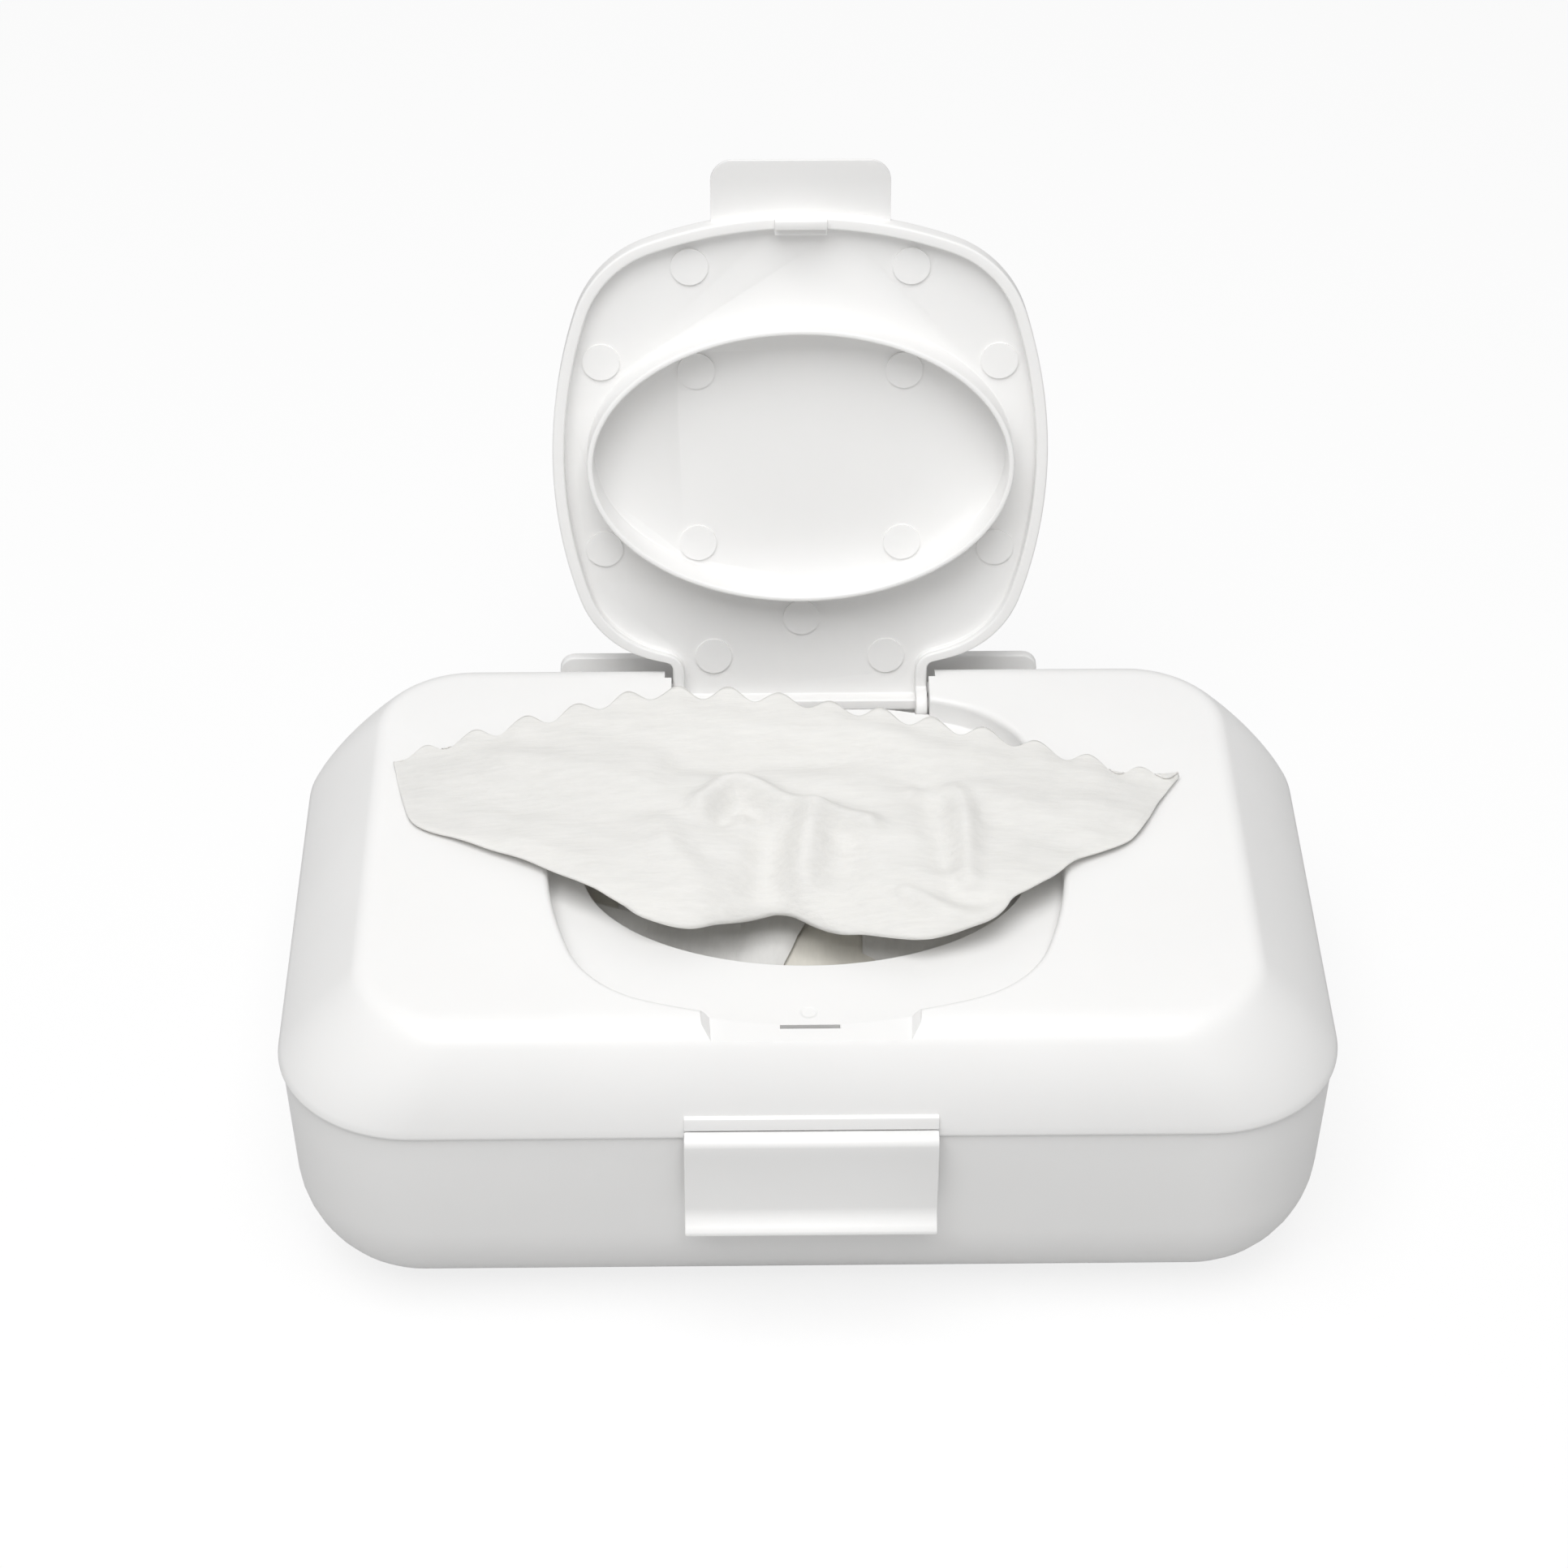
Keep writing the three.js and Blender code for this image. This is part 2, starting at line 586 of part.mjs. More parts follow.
function makeStack() {
  const { halfX, halfY, shift, headroom, edgeRadius, chamfer, crown } = stack;
  const low = tubFloor + touchGap;
  const top = recessZ - headroom;
  const at = (inset, z) => ({
    outline: roundedBox(halfX - inset, halfY - inset, edgeRadius, 4).map(([x, y]) => [x, y - shift]),
    z,
  });
  return loft([
    at(chamfer, low),
    at(chamfer * 0.35, low + chamfer * 0.45),
    at(0, low + chamfer * 1.2),
    at(0, top - crown),
    at(crown * 0.3, top - crown * 0.3),
    at(crown, top),
  ]);
}

// The pulled wipe: one sheet whose ends float over the cover and whose middle stands up in
// soft folds and dips to the opening, with a scalloped far edge. u runs across it, v to the back
function wipeHeight(x, v) {
  const across = Math.min(Math.abs(x) / (wipe.width / 2), 1);
  const lift = wipe.crown * (1 - across ** 2.2);
  const fold = wipe.foldHeight * Math.sin(x / wipe.foldPitch + 4.2 * v) * (1 - across) * (1 - 0.5 * v);
  const dip = wipe.dip * Math.max(1 - (x / wipe.dipHalfX) ** 2, 0) * (1 - v) ** 2;
  return lift * (0.35 + 0.65 * v) + Math.abs(fold) - dip;
}

function wipeEdges(x) {
  const across = x / (wipe.width / 2);
  const scallop = wipe.scallopDepth * Math.cos((2 * Math.PI * x) / wipe.scallopPitch);
  const far = wipe.farCorner + wipe.farBow * (1 - across ** 2) * (1 - 0.25 * across) + scallop;
  const wave = wipe.nearWave * Math.cos((6 * Math.PI * x) / (1.1 * wipe.width));
  const near = -wipe.nearCorner - wipe.nearBow * Math.sqrt(Math.max(1 - across ** 2, 0)) - wave;
  return { far, near };
}

function makeWipe() {
  const { thickness, width } = wipe;
  const rest = boxHeight + touchGap;
  const point = (i, j, lift) => {
    const x = width * (i / wipeColumns - 0.5);
    const v = j / wipeRows;
    const { far, near } = wipeEdges(x);
    return [x, near + (far - near) * v, rest + wipeHeight(x, v) + lift];
  };
  const positions = [];
  const index = [];
  const stride = (wipeColumns + 1) * (wipeRows + 1);
  for (const lift of [0, thickness]) {
    for (let j = 0; j <= wipeRows; j++) {
      for (let i = 0; i <= wipeColumns; i++) positions.push(...point(i, j, lift));
    }
  }
  const at = (i, j, layer) => layer * stride + j * (wipeColumns + 1) + i;
  const quad = (a, b, c, d) => index.push(a, b, c, a, c, d);
  for (let j = 0; j < wipeRows; j++) {
    for (let i = 0; i < wipeColumns; i++) {
      quad(at(i, j, 1), at(i + 1, j, 1), at(i + 1, j + 1, 1), at(i, j + 1, 1));
      quad(at(i, j, 0), at(i, j + 1, 0), at(i + 1, j + 1, 0), at(i + 1, j, 0));
    }
  }
  for (let i = 0; i < wipeColumns; i++) {
    quad(at(i, 0, 0), at(i + 1, 0, 0), at(i + 1, 0, 1), at(i, 0, 1));
    quad(at(i + 1, wipeRows, 0), at(i, wipeRows, 0), at(i, wipeRows, 1), at(i + 1, wipeRows, 1));
  }
  for (let j = 0; j < wipeRows; j++) {
    quad(at(0, j + 1, 0), at(0, j, 0), at(0, j, 1), at(0, j + 1, 1));
    quad(at(wipeColumns, j, 0), at(wipeColumns, j + 1, 0), at(wipeColumns, j + 1, 1), at(wipeColumns, j, 1));
  }
  const geometry = new THREE.BufferGeometry();
  geometry.setAttribute("position", new THREE.Float32BufferAttribute(positions, 3));
  geometry.setIndex(index);
  return toSolid(geometry);
}

function addPart(parent, name, solid, material) {
  const mesh = new THREE.Mesh(toGeometry(solid), material);
  mesh.name = name;
  parent.add(mesh);
}

const dispenser = new THREE.Group();
addPart(dispenser, "tub", makeTub(), plastic);
addPart(dispenser, "wipe_stack", makeStack(), creamCloth);
addPart(dispenser, "top_cover", makeCover(), plastic);
addPart(dispenser, "front_clip", makeClip(), plastic);
addPart(dispenser, "pulled_wipe", makeWipe(), wetCloth);

const lidPivot = new THREE.Group();
lidPivot.position.set(0, lidHingeY, lidHingeZ);
lidPivot.rotation.x = -lidOpenAngle * degrees;
const lidShut = new THREE.Group();
lidShut.position.set(0, -lidHingeY, -lidHingeZ);
lidPivot.add(lidShut);
dispenser.add(lidPivot);
addPart(lidShut, "flip_lid", makeLid(), plastic);

export default dispenser;
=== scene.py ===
import math
import bpy
import numpy as np
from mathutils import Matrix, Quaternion, Vector


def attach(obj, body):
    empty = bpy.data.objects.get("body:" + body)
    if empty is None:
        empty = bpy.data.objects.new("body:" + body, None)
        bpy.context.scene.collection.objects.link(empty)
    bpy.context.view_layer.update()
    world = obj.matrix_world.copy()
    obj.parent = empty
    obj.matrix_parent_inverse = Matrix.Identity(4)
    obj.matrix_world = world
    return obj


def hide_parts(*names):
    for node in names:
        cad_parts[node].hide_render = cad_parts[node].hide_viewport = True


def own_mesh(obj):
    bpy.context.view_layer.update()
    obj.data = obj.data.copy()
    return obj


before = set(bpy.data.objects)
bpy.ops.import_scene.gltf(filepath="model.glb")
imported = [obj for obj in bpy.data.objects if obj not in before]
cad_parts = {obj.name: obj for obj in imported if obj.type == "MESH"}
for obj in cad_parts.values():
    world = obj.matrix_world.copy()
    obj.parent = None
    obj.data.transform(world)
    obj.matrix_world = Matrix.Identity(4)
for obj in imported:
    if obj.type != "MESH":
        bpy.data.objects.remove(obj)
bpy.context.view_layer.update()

scene = bpy.context.scene


# Camera: the photograph's viewpoint, a long lens looking down over the clip at the open lid.
CAMERA_TARGET = Vector((-0.003905, 0.0023, 0.07555))
CAMERA_AZIMUTH = -1.102
CAMERA_ELEVATION = 37.704
CAMERA_DISTANCE = 0.72581
CAMERA_ROLL = 0.297
CAMERA_LENS = 91.21
CAMERA_SENSOR = 36
camera_data = bpy.data.cameras.new("camera")
camera_data.lens = CAMERA_LENS
camera_data.sensor_width = CAMERA_SENSOR
camera = bpy.data.objects.new("camera", camera_data)
scene.collection.objects.link(camera)
azimuth = math.radians(CAMERA_AZIMUTH)
elevation = math.radians(CAMERA_ELEVATION)
camera_back = Vector((
    math.sin(azimuth) * math.cos(elevation),
    -math.cos(azimuth) * math.cos(elevation),
    math.sin(elevation),
))
camera.location = CAMERA_TARGET + camera_back * CAMERA_DISTANCE
camera.rotation_mode = "QUATERNION"
roll_turn = Quaternion((0, 0, 1), math.radians(CAMERA_ROLL))
camera.rotation_quaternion = (-camera_back).to_track_quat("-Z", "Y") @ roll_turn
scene.camera = camera
scene.view_settings.view_transform = "Standard"


# Studio: a large soft lamp high in front in a pale, even room, and a plain pale floor.
# The room is white to the camera and in reflections, and dimmer as a source of light.
# To the camera the floor mostly glows, so that it looks white; to other rays it is a duller matt.
ROOM_STRENGTH = 0.42
LAMP_SIZE = 1.0
LAMP_AT = Vector((-0.12, -0.5, 1.3))
LAMP_AIM = Vector((0, 0, 0.06))
LAMP_POWER = 15.2
FLOOR_SIZE = 6
FLOOR_SEEN = (0.95, 0.95, 0.95, 1)
FLOOR_BOUNCE = (0.6, 0.6, 0.6, 1)
FLOOR_GLOW = 0.8
world = bpy.data.worlds.new("room")
scene.world = world
world.use_nodes = True
nodes = world.node_tree.nodes
links = world.node_tree.links
nodes.clear()
path = nodes.new("ShaderNodeLightPath")
seen = nodes.new("ShaderNodeMath")
seen.operation = "MAXIMUM"
seen_through = nodes.new("ShaderNodeMath")
seen_through.operation = "MAXIMUM"
dim = nodes.new("ShaderNodeBackground")
dim.inputs["Color"].default_value = (1, 1, 1, 1)
dim.inputs["Strength"].default_value = ROOM_STRENGTH
white = nodes.new("ShaderNodeBackground")
white.inputs["Color"].default_value = (1, 1, 1, 1)
white.inputs["Strength"].default_value = 1
mix = nodes.new("ShaderNodeMixShader")
out = nodes.new("ShaderNodeOutputWorld")
links.new(path.outputs["Is Camera Ray"], seen.inputs[0])
links.new(path.outputs["Is Glossy Ray"], seen.inputs[1])
links.new(seen.outputs[0], seen_through.inputs[0])
links.new(path.outputs["Is Transmission Ray"], seen_through.inputs[1])
links.new(seen_through.outputs[0], mix.inputs[0])
links.new(dim.outputs[0], mix.inputs[1])
links.new(white.outputs[0], mix.inputs[2])
links.new(mix.outputs[0], out.inputs["Surface"])

lamp_data = bpy.data.lights.new("overhead", "AREA")
lamp_data.shape = "SQUARE"
lamp_data.size = LAMP_SIZE
lamp_data.energy = LAMP_POWER
lamp = bpy.data.objects.new("overhead", lamp_data)
scene.collection.objects.link(lamp)
lamp.location = LAMP_AT
lamp.rotation_mode = "QUATERNION"
lamp.rotation_quaternion = (LAMP_AIM - LAMP_AT).to_track_quat("-Z", "Y")

floor_mesh = bpy.data.meshes.new("floor")
half = FLOOR_SIZE / 2
floor_corners = [(-half, -half, 0), (half, -half, 0), (half, half, 0), (-half, half, 0)]
floor_mesh.from_pydata(floor_corners, [], [(0, 1, 2, 3)])
floor = bpy.data.objects.new("floor", floor_mesh)
scene.collection.objects.link(floor)
floor_material = bpy.data.materials.new("floor")
floor_material.use_nodes = True
nodes = floor_material.node_tree.nodes
links = floor_material.node_tree.links
nodes.clear()
path = nodes.new("ShaderNodeLightPath")
bounce = nodes.new("ShaderNodeBsdfDiffuse")
bounce.inputs["Color"].default_value = FLOOR_BOUNCE
matt = nodes.new("ShaderNodeBsdfDiffuse")
matt.inputs["Color"].default_value = FLOOR_SEEN
glow = nodes.new("ShaderNodeEmission")
glow.inputs["Strength"].default_value = 1
pale = nodes.new("ShaderNodeMixShader")
pale.inputs[0].default_value = FLOOR_GLOW
mix = nodes.new("ShaderNodeMixShader")
out = nodes.new("ShaderNodeOutputMaterial")
links.new(matt.outputs[0], pale.inputs[1])
links.new(glow.outputs[0], pale.inputs[2])
links.new(path.outputs["Is Camera Ray"], mix.inputs[0])
links.new(bounce.outputs[0], mix.inputs[1])
links.new(pale.outputs[0], mix.inputs[2])
links.new(mix.outputs[0], out.inputs["Surface"])
floor_mesh.materials.append(floor_material)


# Tub: injection-moulded polypropylene box with a rounded foot, drafted walls and a locating lip.
# At its back a plate rises from the rim and carries the cover's hinge pin across a notch, with
# the plate's footing and the clip's catch rib moulded on.
MM = 0.001
RIM_TOP = 46.1
RIM_HALF = (95, 61)
RIM_CORNER = 25
TUB_INSET = 0.6
TUB_DRAFT = 0.049
TUB_FOOT = 22
TUB_WALL = 1.8
TUB_FLOOR = 2.2
LIP_INSET = 5.1
LIP_WALL = 1.3
LIP_TOP = 49.8
LIP_EDGE = 0.3
LIP_REAR_Y = 34
LIP_ROOT_Z = 42.5
BLEND_LOW_Z = 39.9
FOOT_STEPS = 12
PLATE_HALF = 46.9
PLATE_Y = (61.4, 63.3)
PLATE_Z = (27, 61.4)
PLATE_CORNER = 3
PLATE_EDGE = 0.35
FOOTING = [(58.6, 24), (63.3, 27), (63.3, 45.9), (58.6, 45.9)]
NOTCH_HALF = 20
NOTCH_Z = 55.2
FOOTING_HALF = 46.7
COVER_PIN = (62.35, 58.9, 1.6)
COVER_PIN_HALF = 22.9
CATCH_RIB = [(-61.95, 35.7), (-59.5, 35.7), (-59.5, 39.7), (-61.95, 37.7)]
RIB_HALF = 17
RIB_EDGE = 0.25
TUB_EDGE = 0.4


def rounded_box(half_x, half_y, radius, steps=14):
    points = []
    for quarter, (sx, sy) in enumerate(((1, 1), (-1, 1), (-1, -1), (1, -1))):
        for i in range(steps + 1):
            turn = (quarter + i / steps) * math.pi / 2
            points.append((
                sx * (half_x - radius) + radius * math.cos(turn),
                sy * (half_y - radius) + radius * math.sin(turn),
            ))
    return np.array(points)


def inset_outline(points, amount):
    ahead = np.roll(points, -1, axis=0) - points
    behind = points - np.roll(points, 1, axis=0)
    ahead /= np.maximum(np.linalg.norm(ahead, axis=1, keepdims=True), 1e-9)
    behind /= np.maximum(np.linalg.norm(behind, axis=1, keepdims=True), 1e-9)
    normal_a = np.stack([-ahead[:, 1], ahead[:, 0]], axis=1)
    normal_b = np.stack([-behind[:, 1], behind[:, 0]], axis=1)
    middle = normal_a + normal_b
    middle /= np.maximum(np.linalg.norm(middle, axis=1, keepdims=True), 1e-9)
    spread = np.maximum((middle * normal_a).sum(axis=1), 0.4)
    return points + middle * (amount / spread)[:, None]


def rings_faces(count, rings, closed_loop=False):
    faces = []
    last = rings if closed_loop else rings - 1
    for ring in range(last):
        below = ring * count
        above = ((ring + 1) % rings) * count
        for i in range(count):
            j = (i + 1) % count
            faces.append((below + i, below + j, above + j, above + i))
    return faces


def make_object(name, points, faces, angle=32):
    mesh = bpy.data.meshes.new(name)
    mesh.from_pydata([tuple(float(c) * MM for c in p) for p in points], [], faces)
    mesh.update()
    obj = bpy.data.objects.new(name, mesh)
    scene.collection.objects.link(obj)
    shade(obj, angle)
    return obj


def shade(obj, angle=32):
    obj.data.polygons.foreach_set("use_smooth", [True] * len(obj.data.polygons))
    obj.data.set_sharp_from_angle(angle=math.radians(angle))
    obj.data.update()


def stacked(name, levels, angle=32, closed_loop=False):
    count = len(levels[0][0])
    points = []
    for outline, z in levels:
        heights = np.broadcast_to(np.asarray(z, float), (count,))
        points.extend((x, y, h) for (x, y), h in zip(outline, heights))
    faces = rings_faces(count, len(levels), closed_loop)
    if not closed_loop:
        faces.append(tuple(range(count - 1, -1, -1)))
        base = (len(levels) - 1) * count
        faces.append(tuple(range(base, base + count)))
    return make_object(name, points, faces, angle)


def facing_out(outline):
    outline = np.array(outline, float)
    ahead = np.roll(outline, -1, axis=0)
    area = (outline[:, 0] * ahead[:, 1] - ahead[:, 0] * outline[:, 1]).sum()
    return outline[::-1] if area < 0 else outline


def quarter_round(radius, step):
    turns = [math.radians(turn) for turn in range(0, 91, step)]
    return [(radius * (1 - math.sin(turn)), radius * (1 - math.cos(turn))) for turn in turns]


def slab(name, outline, low, high, edge, order="xyz", angle=32, steps=3):
    outline = facing_out(outline)
    edge_round = quarter_round(edge, 90 // steps)
    levels = [(inset_outline(outline, inward), low + rise) for inward, rise in edge_round]
    levels += [(inset_outline(outline, inward), high - fall) for inward, fall in reversed(edge_round)]
    obj = stacked(name, levels, angle)
    if order != "xyz":
        for vertex in obj.data.vertices:
            u, v, w = vertex.co
            vertex.co = (w, u, v) if order == "yz" else (v, w, u)
        obj.data.update()
    return obj


def bar(name, section, x0, x1, edge=0.0):
    section = facing_out(section)
    if edge:
        return slab(name, section, x0, x1, edge, "yz", steps=2)
    obj = stacked(name, [(section, x0), (section, x1)])
    for vertex in obj.data.vertices:
        u, v, w = vertex.co
        vertex.co = (w, u, v)
    obj.data.update()
    return obj


def block(name, x0, x1, y0, y1, z0, z1, edge=0.0):
    return bar(name, [(y0, z0), (y1, z0), (y1, z1), (y0, z1)], x0, x1, edge)


def arc(centre_y, centre_z, radius, start, end, steps):
    turns = [math.radians(start + (end - start) * i / steps) for i in range(steps + 1)]
    return [(centre_y + radius * math.cos(t), centre_z + radius * math.sin(t)) for t in turns]


def rod(name, x0, x1, y, z, radius, edge=0.0):
    return bar(name, arc(y, z, radius, 0, 354, 59)[:-1] + [arc(y, z, radius, 354, 354, 1)[0]], x0, x1, edge)


def baked(obj):
    graph = bpy.context.evaluated_depsgraph_get()
    mesh = bpy.data.meshes.new_from_object(obj.evaluated_get(graph), depsgraph=graph)
    obj.modifiers.clear()
    old = obj.data
    obj.data = mesh
    bpy.data.meshes.remove(old)
    mesh.name = obj.name
    return obj


def combine(body, tools, how, angle=32):
    for tool in tools:
        step = body.modifiers.new("join", "BOOLEAN")
        step.operation = how
        step.solver = "MANIFOLD"
        step.object = tool
        baked(body)
        bpy.data.objects.remove(tool)
    shade(body, angle)
    return body


def tub_outline(z, wall):
    foot = TUB_FOOT - wall
    low = TUB_FLOOR if wall else 0
    rise = min(max(foot - (z - low), 0), foot)
    amount = TUB_INSET + TUB_DRAFT * (RIM_TOP + 0.3 - z) + wall + foot - math.sqrt(foot ** 2 - rise ** 2)
    return rounded_box(RIM_HALF[0] - amount, RIM_HALF[1] - amount, max(RIM_CORNER - amount, 4))


def lip_outline(amount):
    return rounded_box(RIM_HALF[0] - amount, RIM_HALF[1] - amount, RIM_CORNER - amount)


tub_levels = []
foot_turns = [math.radians(90 * i / FOOT_STEPS) for i in range(FOOT_STEPS + 1)]
for turn in foot_turns:
    z = TUB_FOOT * (1 - math.cos(turn))
    tub_levels.append((tub_outline(z, 0), z))
tub_levels.append((tub_outline(RIM_TOP - TUB_EDGE, 0), RIM_TOP - TUB_EDGE))
for turn in (30, 60, 90):
    rise = TUB_EDGE * math.sin(math.radians(turn))
    amount = TUB_INSET + TUB_EDGE * (1 - math.cos(math.radians(turn)))
    tub_levels.append((lip_outline(amount), RIM_TOP - TUB_EDGE + rise))
tub_levels.append((lip_outline(LIP_INSET), RIM_TOP))
tub_levels.append((lip_outline(LIP_INSET), LIP_TOP - LIP_EDGE))
tub_levels.append((lip_outline(LIP_INSET + LIP_EDGE), LIP_TOP))
tub_levels.append((lip_outline(LIP_INSET + LIP_WALL - LIP_EDGE), LIP_TOP))
tub_levels.append((lip_outline(LIP_INSET + LIP_WALL), LIP_TOP - LIP_EDGE))
tub_levels.append((lip_outline(LIP_INSET + LIP_WALL), LIP_ROOT_Z))
tub_levels.append((tub_outline(BLEND_LOW_Z, TUB_WALL), BLEND_LOW_Z))
for turn in reversed(foot_turns):
    z = TUB_FLOOR + (TUB_FOOT - TUB_WALL) * (1 - math.cos(turn))
    tub_levels.append((tub_outline(z, TUB_WALL), z))
tub = stacked("tub_shell", tub_levels, 40)
combine(tub, [block("behind", -90, 90, LIP_REAR_Y, 70, RIM_TOP, 60)], "DIFFERENCE")
plate_outline = [(PLATE_Z[0], -PLATE_HALF), (PLATE_Z[0], PLATE_HALF)]
plate_corner = quarter_round(PLATE_CORNER, 15)
plate_outline += [(PLATE_Z[1] - down, PLATE_HALF - inward) for down, inward in plate_corner]
plate_outline += [(PLATE_Z[1], NOTCH_HALF), (NOTCH_Z, NOTCH_HALF)]
plate_outline += [(NOTCH_Z, -NOTCH_HALF), (PLATE_Z[1], -NOTCH_HALF)]
plate_outline += [(PLATE_Z[1] - down, inward - PLATE_HALF) for down, inward in reversed(plate_corner)]
plate = slab("plate", plate_outline, PLATE_Y[0], PLATE_Y[1], PLATE_EDGE, "xz")
footing = bar("footing", FOOTING, -FOOTING_HALF, FOOTING_HALF)
cover_pin = rod("cover_pin", -COVER_PIN_HALF, COVER_PIN_HALF, *COVER_PIN)
rib = bar("rib", CATCH_RIB, -RIB_HALF, RIB_HALF, RIB_EDGE)
combine(tub, [plate, footing, cover_pin, rib], "UNION")


# Polypropylene skin shared by the moulded pieces: satin white, slightly uneven, with faint
# flow waves and a very fine grain, set in the piece's own space.
NOISE_SPAN = (0.3, 0.7)
SKIN_ROUGHNESS = (0.36, 0.46)
MARK_SOFTNESS = 0.3
PLASTIC_COLOUR = (0.862, 0.858, 0.85)


def noise(tree, vector, scale, detail):
    clouds = tree.nodes.new("ShaderNodeTexNoise")
    clouds.inputs["Scale"].default_value = scale
    clouds.inputs["Detail"].default_value = detail
    tree.links.new(vector, clouds.inputs["Vector"])
    return clouds


def spread(tree, value, low, high, source=NOISE_SPAN):
    mapped = tree.nodes.new("ShaderNodeMapRange")
    mapped.inputs["From Min"].default_value, mapped.inputs["From Max"].default_value = source
    mapped.inputs["To Min"].default_value = low
    mapped.inputs["To Max"].default_value = high
    tree.links.new(value, mapped.inputs["Value"])
    return mapped


def scaled_colour(tree, colour, share):
    shaded = tree.nodes.new("ShaderNodeVectorMath")
    shaded.operation = "SCALE"
    shaded.inputs[0].default_value = colour
    tree.links.new(share, shaded.inputs["Scale"])
    return shaded.outputs["Vector"]


def relief(tree, height, strength, distance, below=None):
    bump = tree.nodes.new("ShaderNodeBump")
    bump.inputs["Strength"].default_value = strength
    bump.inputs["Distance"].default_value = distance
    tree.links.new(height, bump.inputs["Height"])
    if below:
        tree.links.new(below, bump.inputs["Normal"])
    return bump.outputs["Normal"]


def plastic_material(name, colour, marks=()):
    material = bpy.data.materials.new(name)
    material.use_nodes = True
    tree = material.node_tree
    shader = tree.nodes["Principled BSDF"]
    shader.inputs["IOR"].default_value = 1.49
    shader.inputs["Subsurface Weight"].default_value = 0.12
    shader.inputs["Subsurface Radius"].default_value = (1, 0.95, 0.9)
    shader.inputs["Subsurface Scale"].default_value = 0.0012
    place = tree.nodes.new("ShaderNodeTexCoord").outputs["Object"]
    cloud = noise(tree, place, 38, 3).outputs["Fac"]
    tint = spread(tree, cloud, 0.985, 1.0).outputs["Result"]
    tree.links.new(scaled_colour(tree, colour, tint), shader.inputs["Base Color"])
    tree.links.new(spread(tree, cloud, *SKIN_ROUGHNESS).outputs["Result"], shader.inputs["Roughness"])
    wave = noise(tree, place, 55, 1).outputs["Fac"]
    grain = noise(tree, place, 2600, 2).outputs["Fac"]
    normal = relief(tree, wave, 0.25, 0.2 * MM)
    normal = relief(tree, grain, 0.08, 0.05 * MM, normal)
    for x, y, radius, depth in marks:
        flat = tree.nodes.new("ShaderNodeVectorMath")
        flat.operation = "MULTIPLY"
        flat.inputs[1].default_value = (1, 1, 0)
        tree.links.new(place, flat.inputs[0])
        away = tree.nodes.new("ShaderNodeVectorMath")
        away.operation = "DISTANCE"
        away.inputs[1].default_value = (x * MM, y * MM, 0)
        tree.links.new(flat.outputs["Vector"], away.inputs[0])
        ring_span = ((radius - MARK_SOFTNESS) * MM, (radius + MARK_SOFTNESS) * MM)
        rim = spread(tree, away.outputs["Value"], 0, 1, ring_span)
        rim.interpolation_type = "SMOOTHSTEP"
        normal = relief(tree, rim.outputs["Result"], 0.6, depth * MM, normal)
    tree.links.new(normal, shader.inputs["Normal"])
    return material


def dress(obj, material):
    obj.data.materials.clear()
    obj.data.materials.append(material)
    obj.data.polygons.foreach_set("material_index", [0] * len(obj.data.polygons))


dress(tub, plastic_material("tub_plastic", PLASTIC_COLOUR))
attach(tub, "base")
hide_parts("tub")


# Top cover: one polypropylene moulding, a dished top over the tub with a recess for the flip lid
# and an oval opening in its floor. It turns on the tub's pin by two knuckles at the back,
# and its gate mark shows as a small ring in the recess floor.
BOX_TOP = 65.5
COVER_RIM_Z = 46.4
COVER_FALL = 18.5
COVER_WALL = 1.8
SIDE_SLOPE = (4.5, 45, 51, 62)
END_SLOPE = (7.6, 55, 68.6, 80)
RECESS_Y = -2.4
RECESS_HALF = (47.3, 47.9)
RECESS_ARCS = (91.7, 86.9, 22.3)
RECESS_Z = 60.2
RECESS_UNDER_Z = 58.6
RECESS_EDGE = 1.3
FLOOR_EDGE = 0.35
BOWL_WALL = 1.6
OPENING_Y = -2.8
OPENING_HALF = (41, 27.8)
OPENING_EDGE = 0.4
OPENING_UNDER_EDGE = 0.3
RIM_EDGE = 0.3
GATE_MARKS = ((-0.2, -43.6, 1.4, 0.25), (20, -32.7, 1.6, 0.05))
FLANGE = [(-61.37, 48.5), (-57.6, 48.5), (-57.6, 50.9), (-60.6, 50.9), (-60.95, 50.72), (-61.1, 50.4)]
SPOKES = 420
SLOPE_STEPS = 26
LID_HINGE = (47.6, 59.5)
SLEEVE_RADIUS = 3.3
KNUCKLE_BORE = 1.9
LID_BORE = 2.1
NECK_HALF = 24.6
POCKET_HALF = 24.9
POCKET_REAR_HALF = 26.2
SEAT_FLOOR = (62.9, 63.5)
SEAT_HALF = 17.0
SEAT_FLARE = 2.4


def slope_inset(drop, slope):
    edge, edge_angle, mean_angle, rim_angle = slope
    edge_angle, mean_angle, rim_angle = (math.radians(a) for a in (edge_angle, mean_angle, rim_angle))
    start_drop = edge * (1 - math.cos(edge_angle))
    start = (COVER_FALL - start_drop) / math.tan(mean_angle)
    if drop <= start_drop:
        return start + edge * math.sin(edge_angle) - math.sqrt(edge ** 2 - (edge - drop) ** 2)
    if drop >= COVER_FALL:
        return 0.0
    steep = math.tan(rim_angle)
    run = (COVER_FALL - start_drop - start * steep) / (math.sin(edge_angle) - steep * math.cos(edge_angle))
    bend = start - run * math.cos(edge_angle)
    bend_drop = start_drop + run * math.sin(edge_angle)
    a = start_drop - 2 * bend_drop + COVER_FALL
    b = 2 * (bend_drop - start_drop)
    t = (-b + math.sqrt(b * b + 4 * a * (drop - start_drop))) / (2 * a)
    return (1 - t) ** 2 * start + 2 * t * (1 - t) * bend


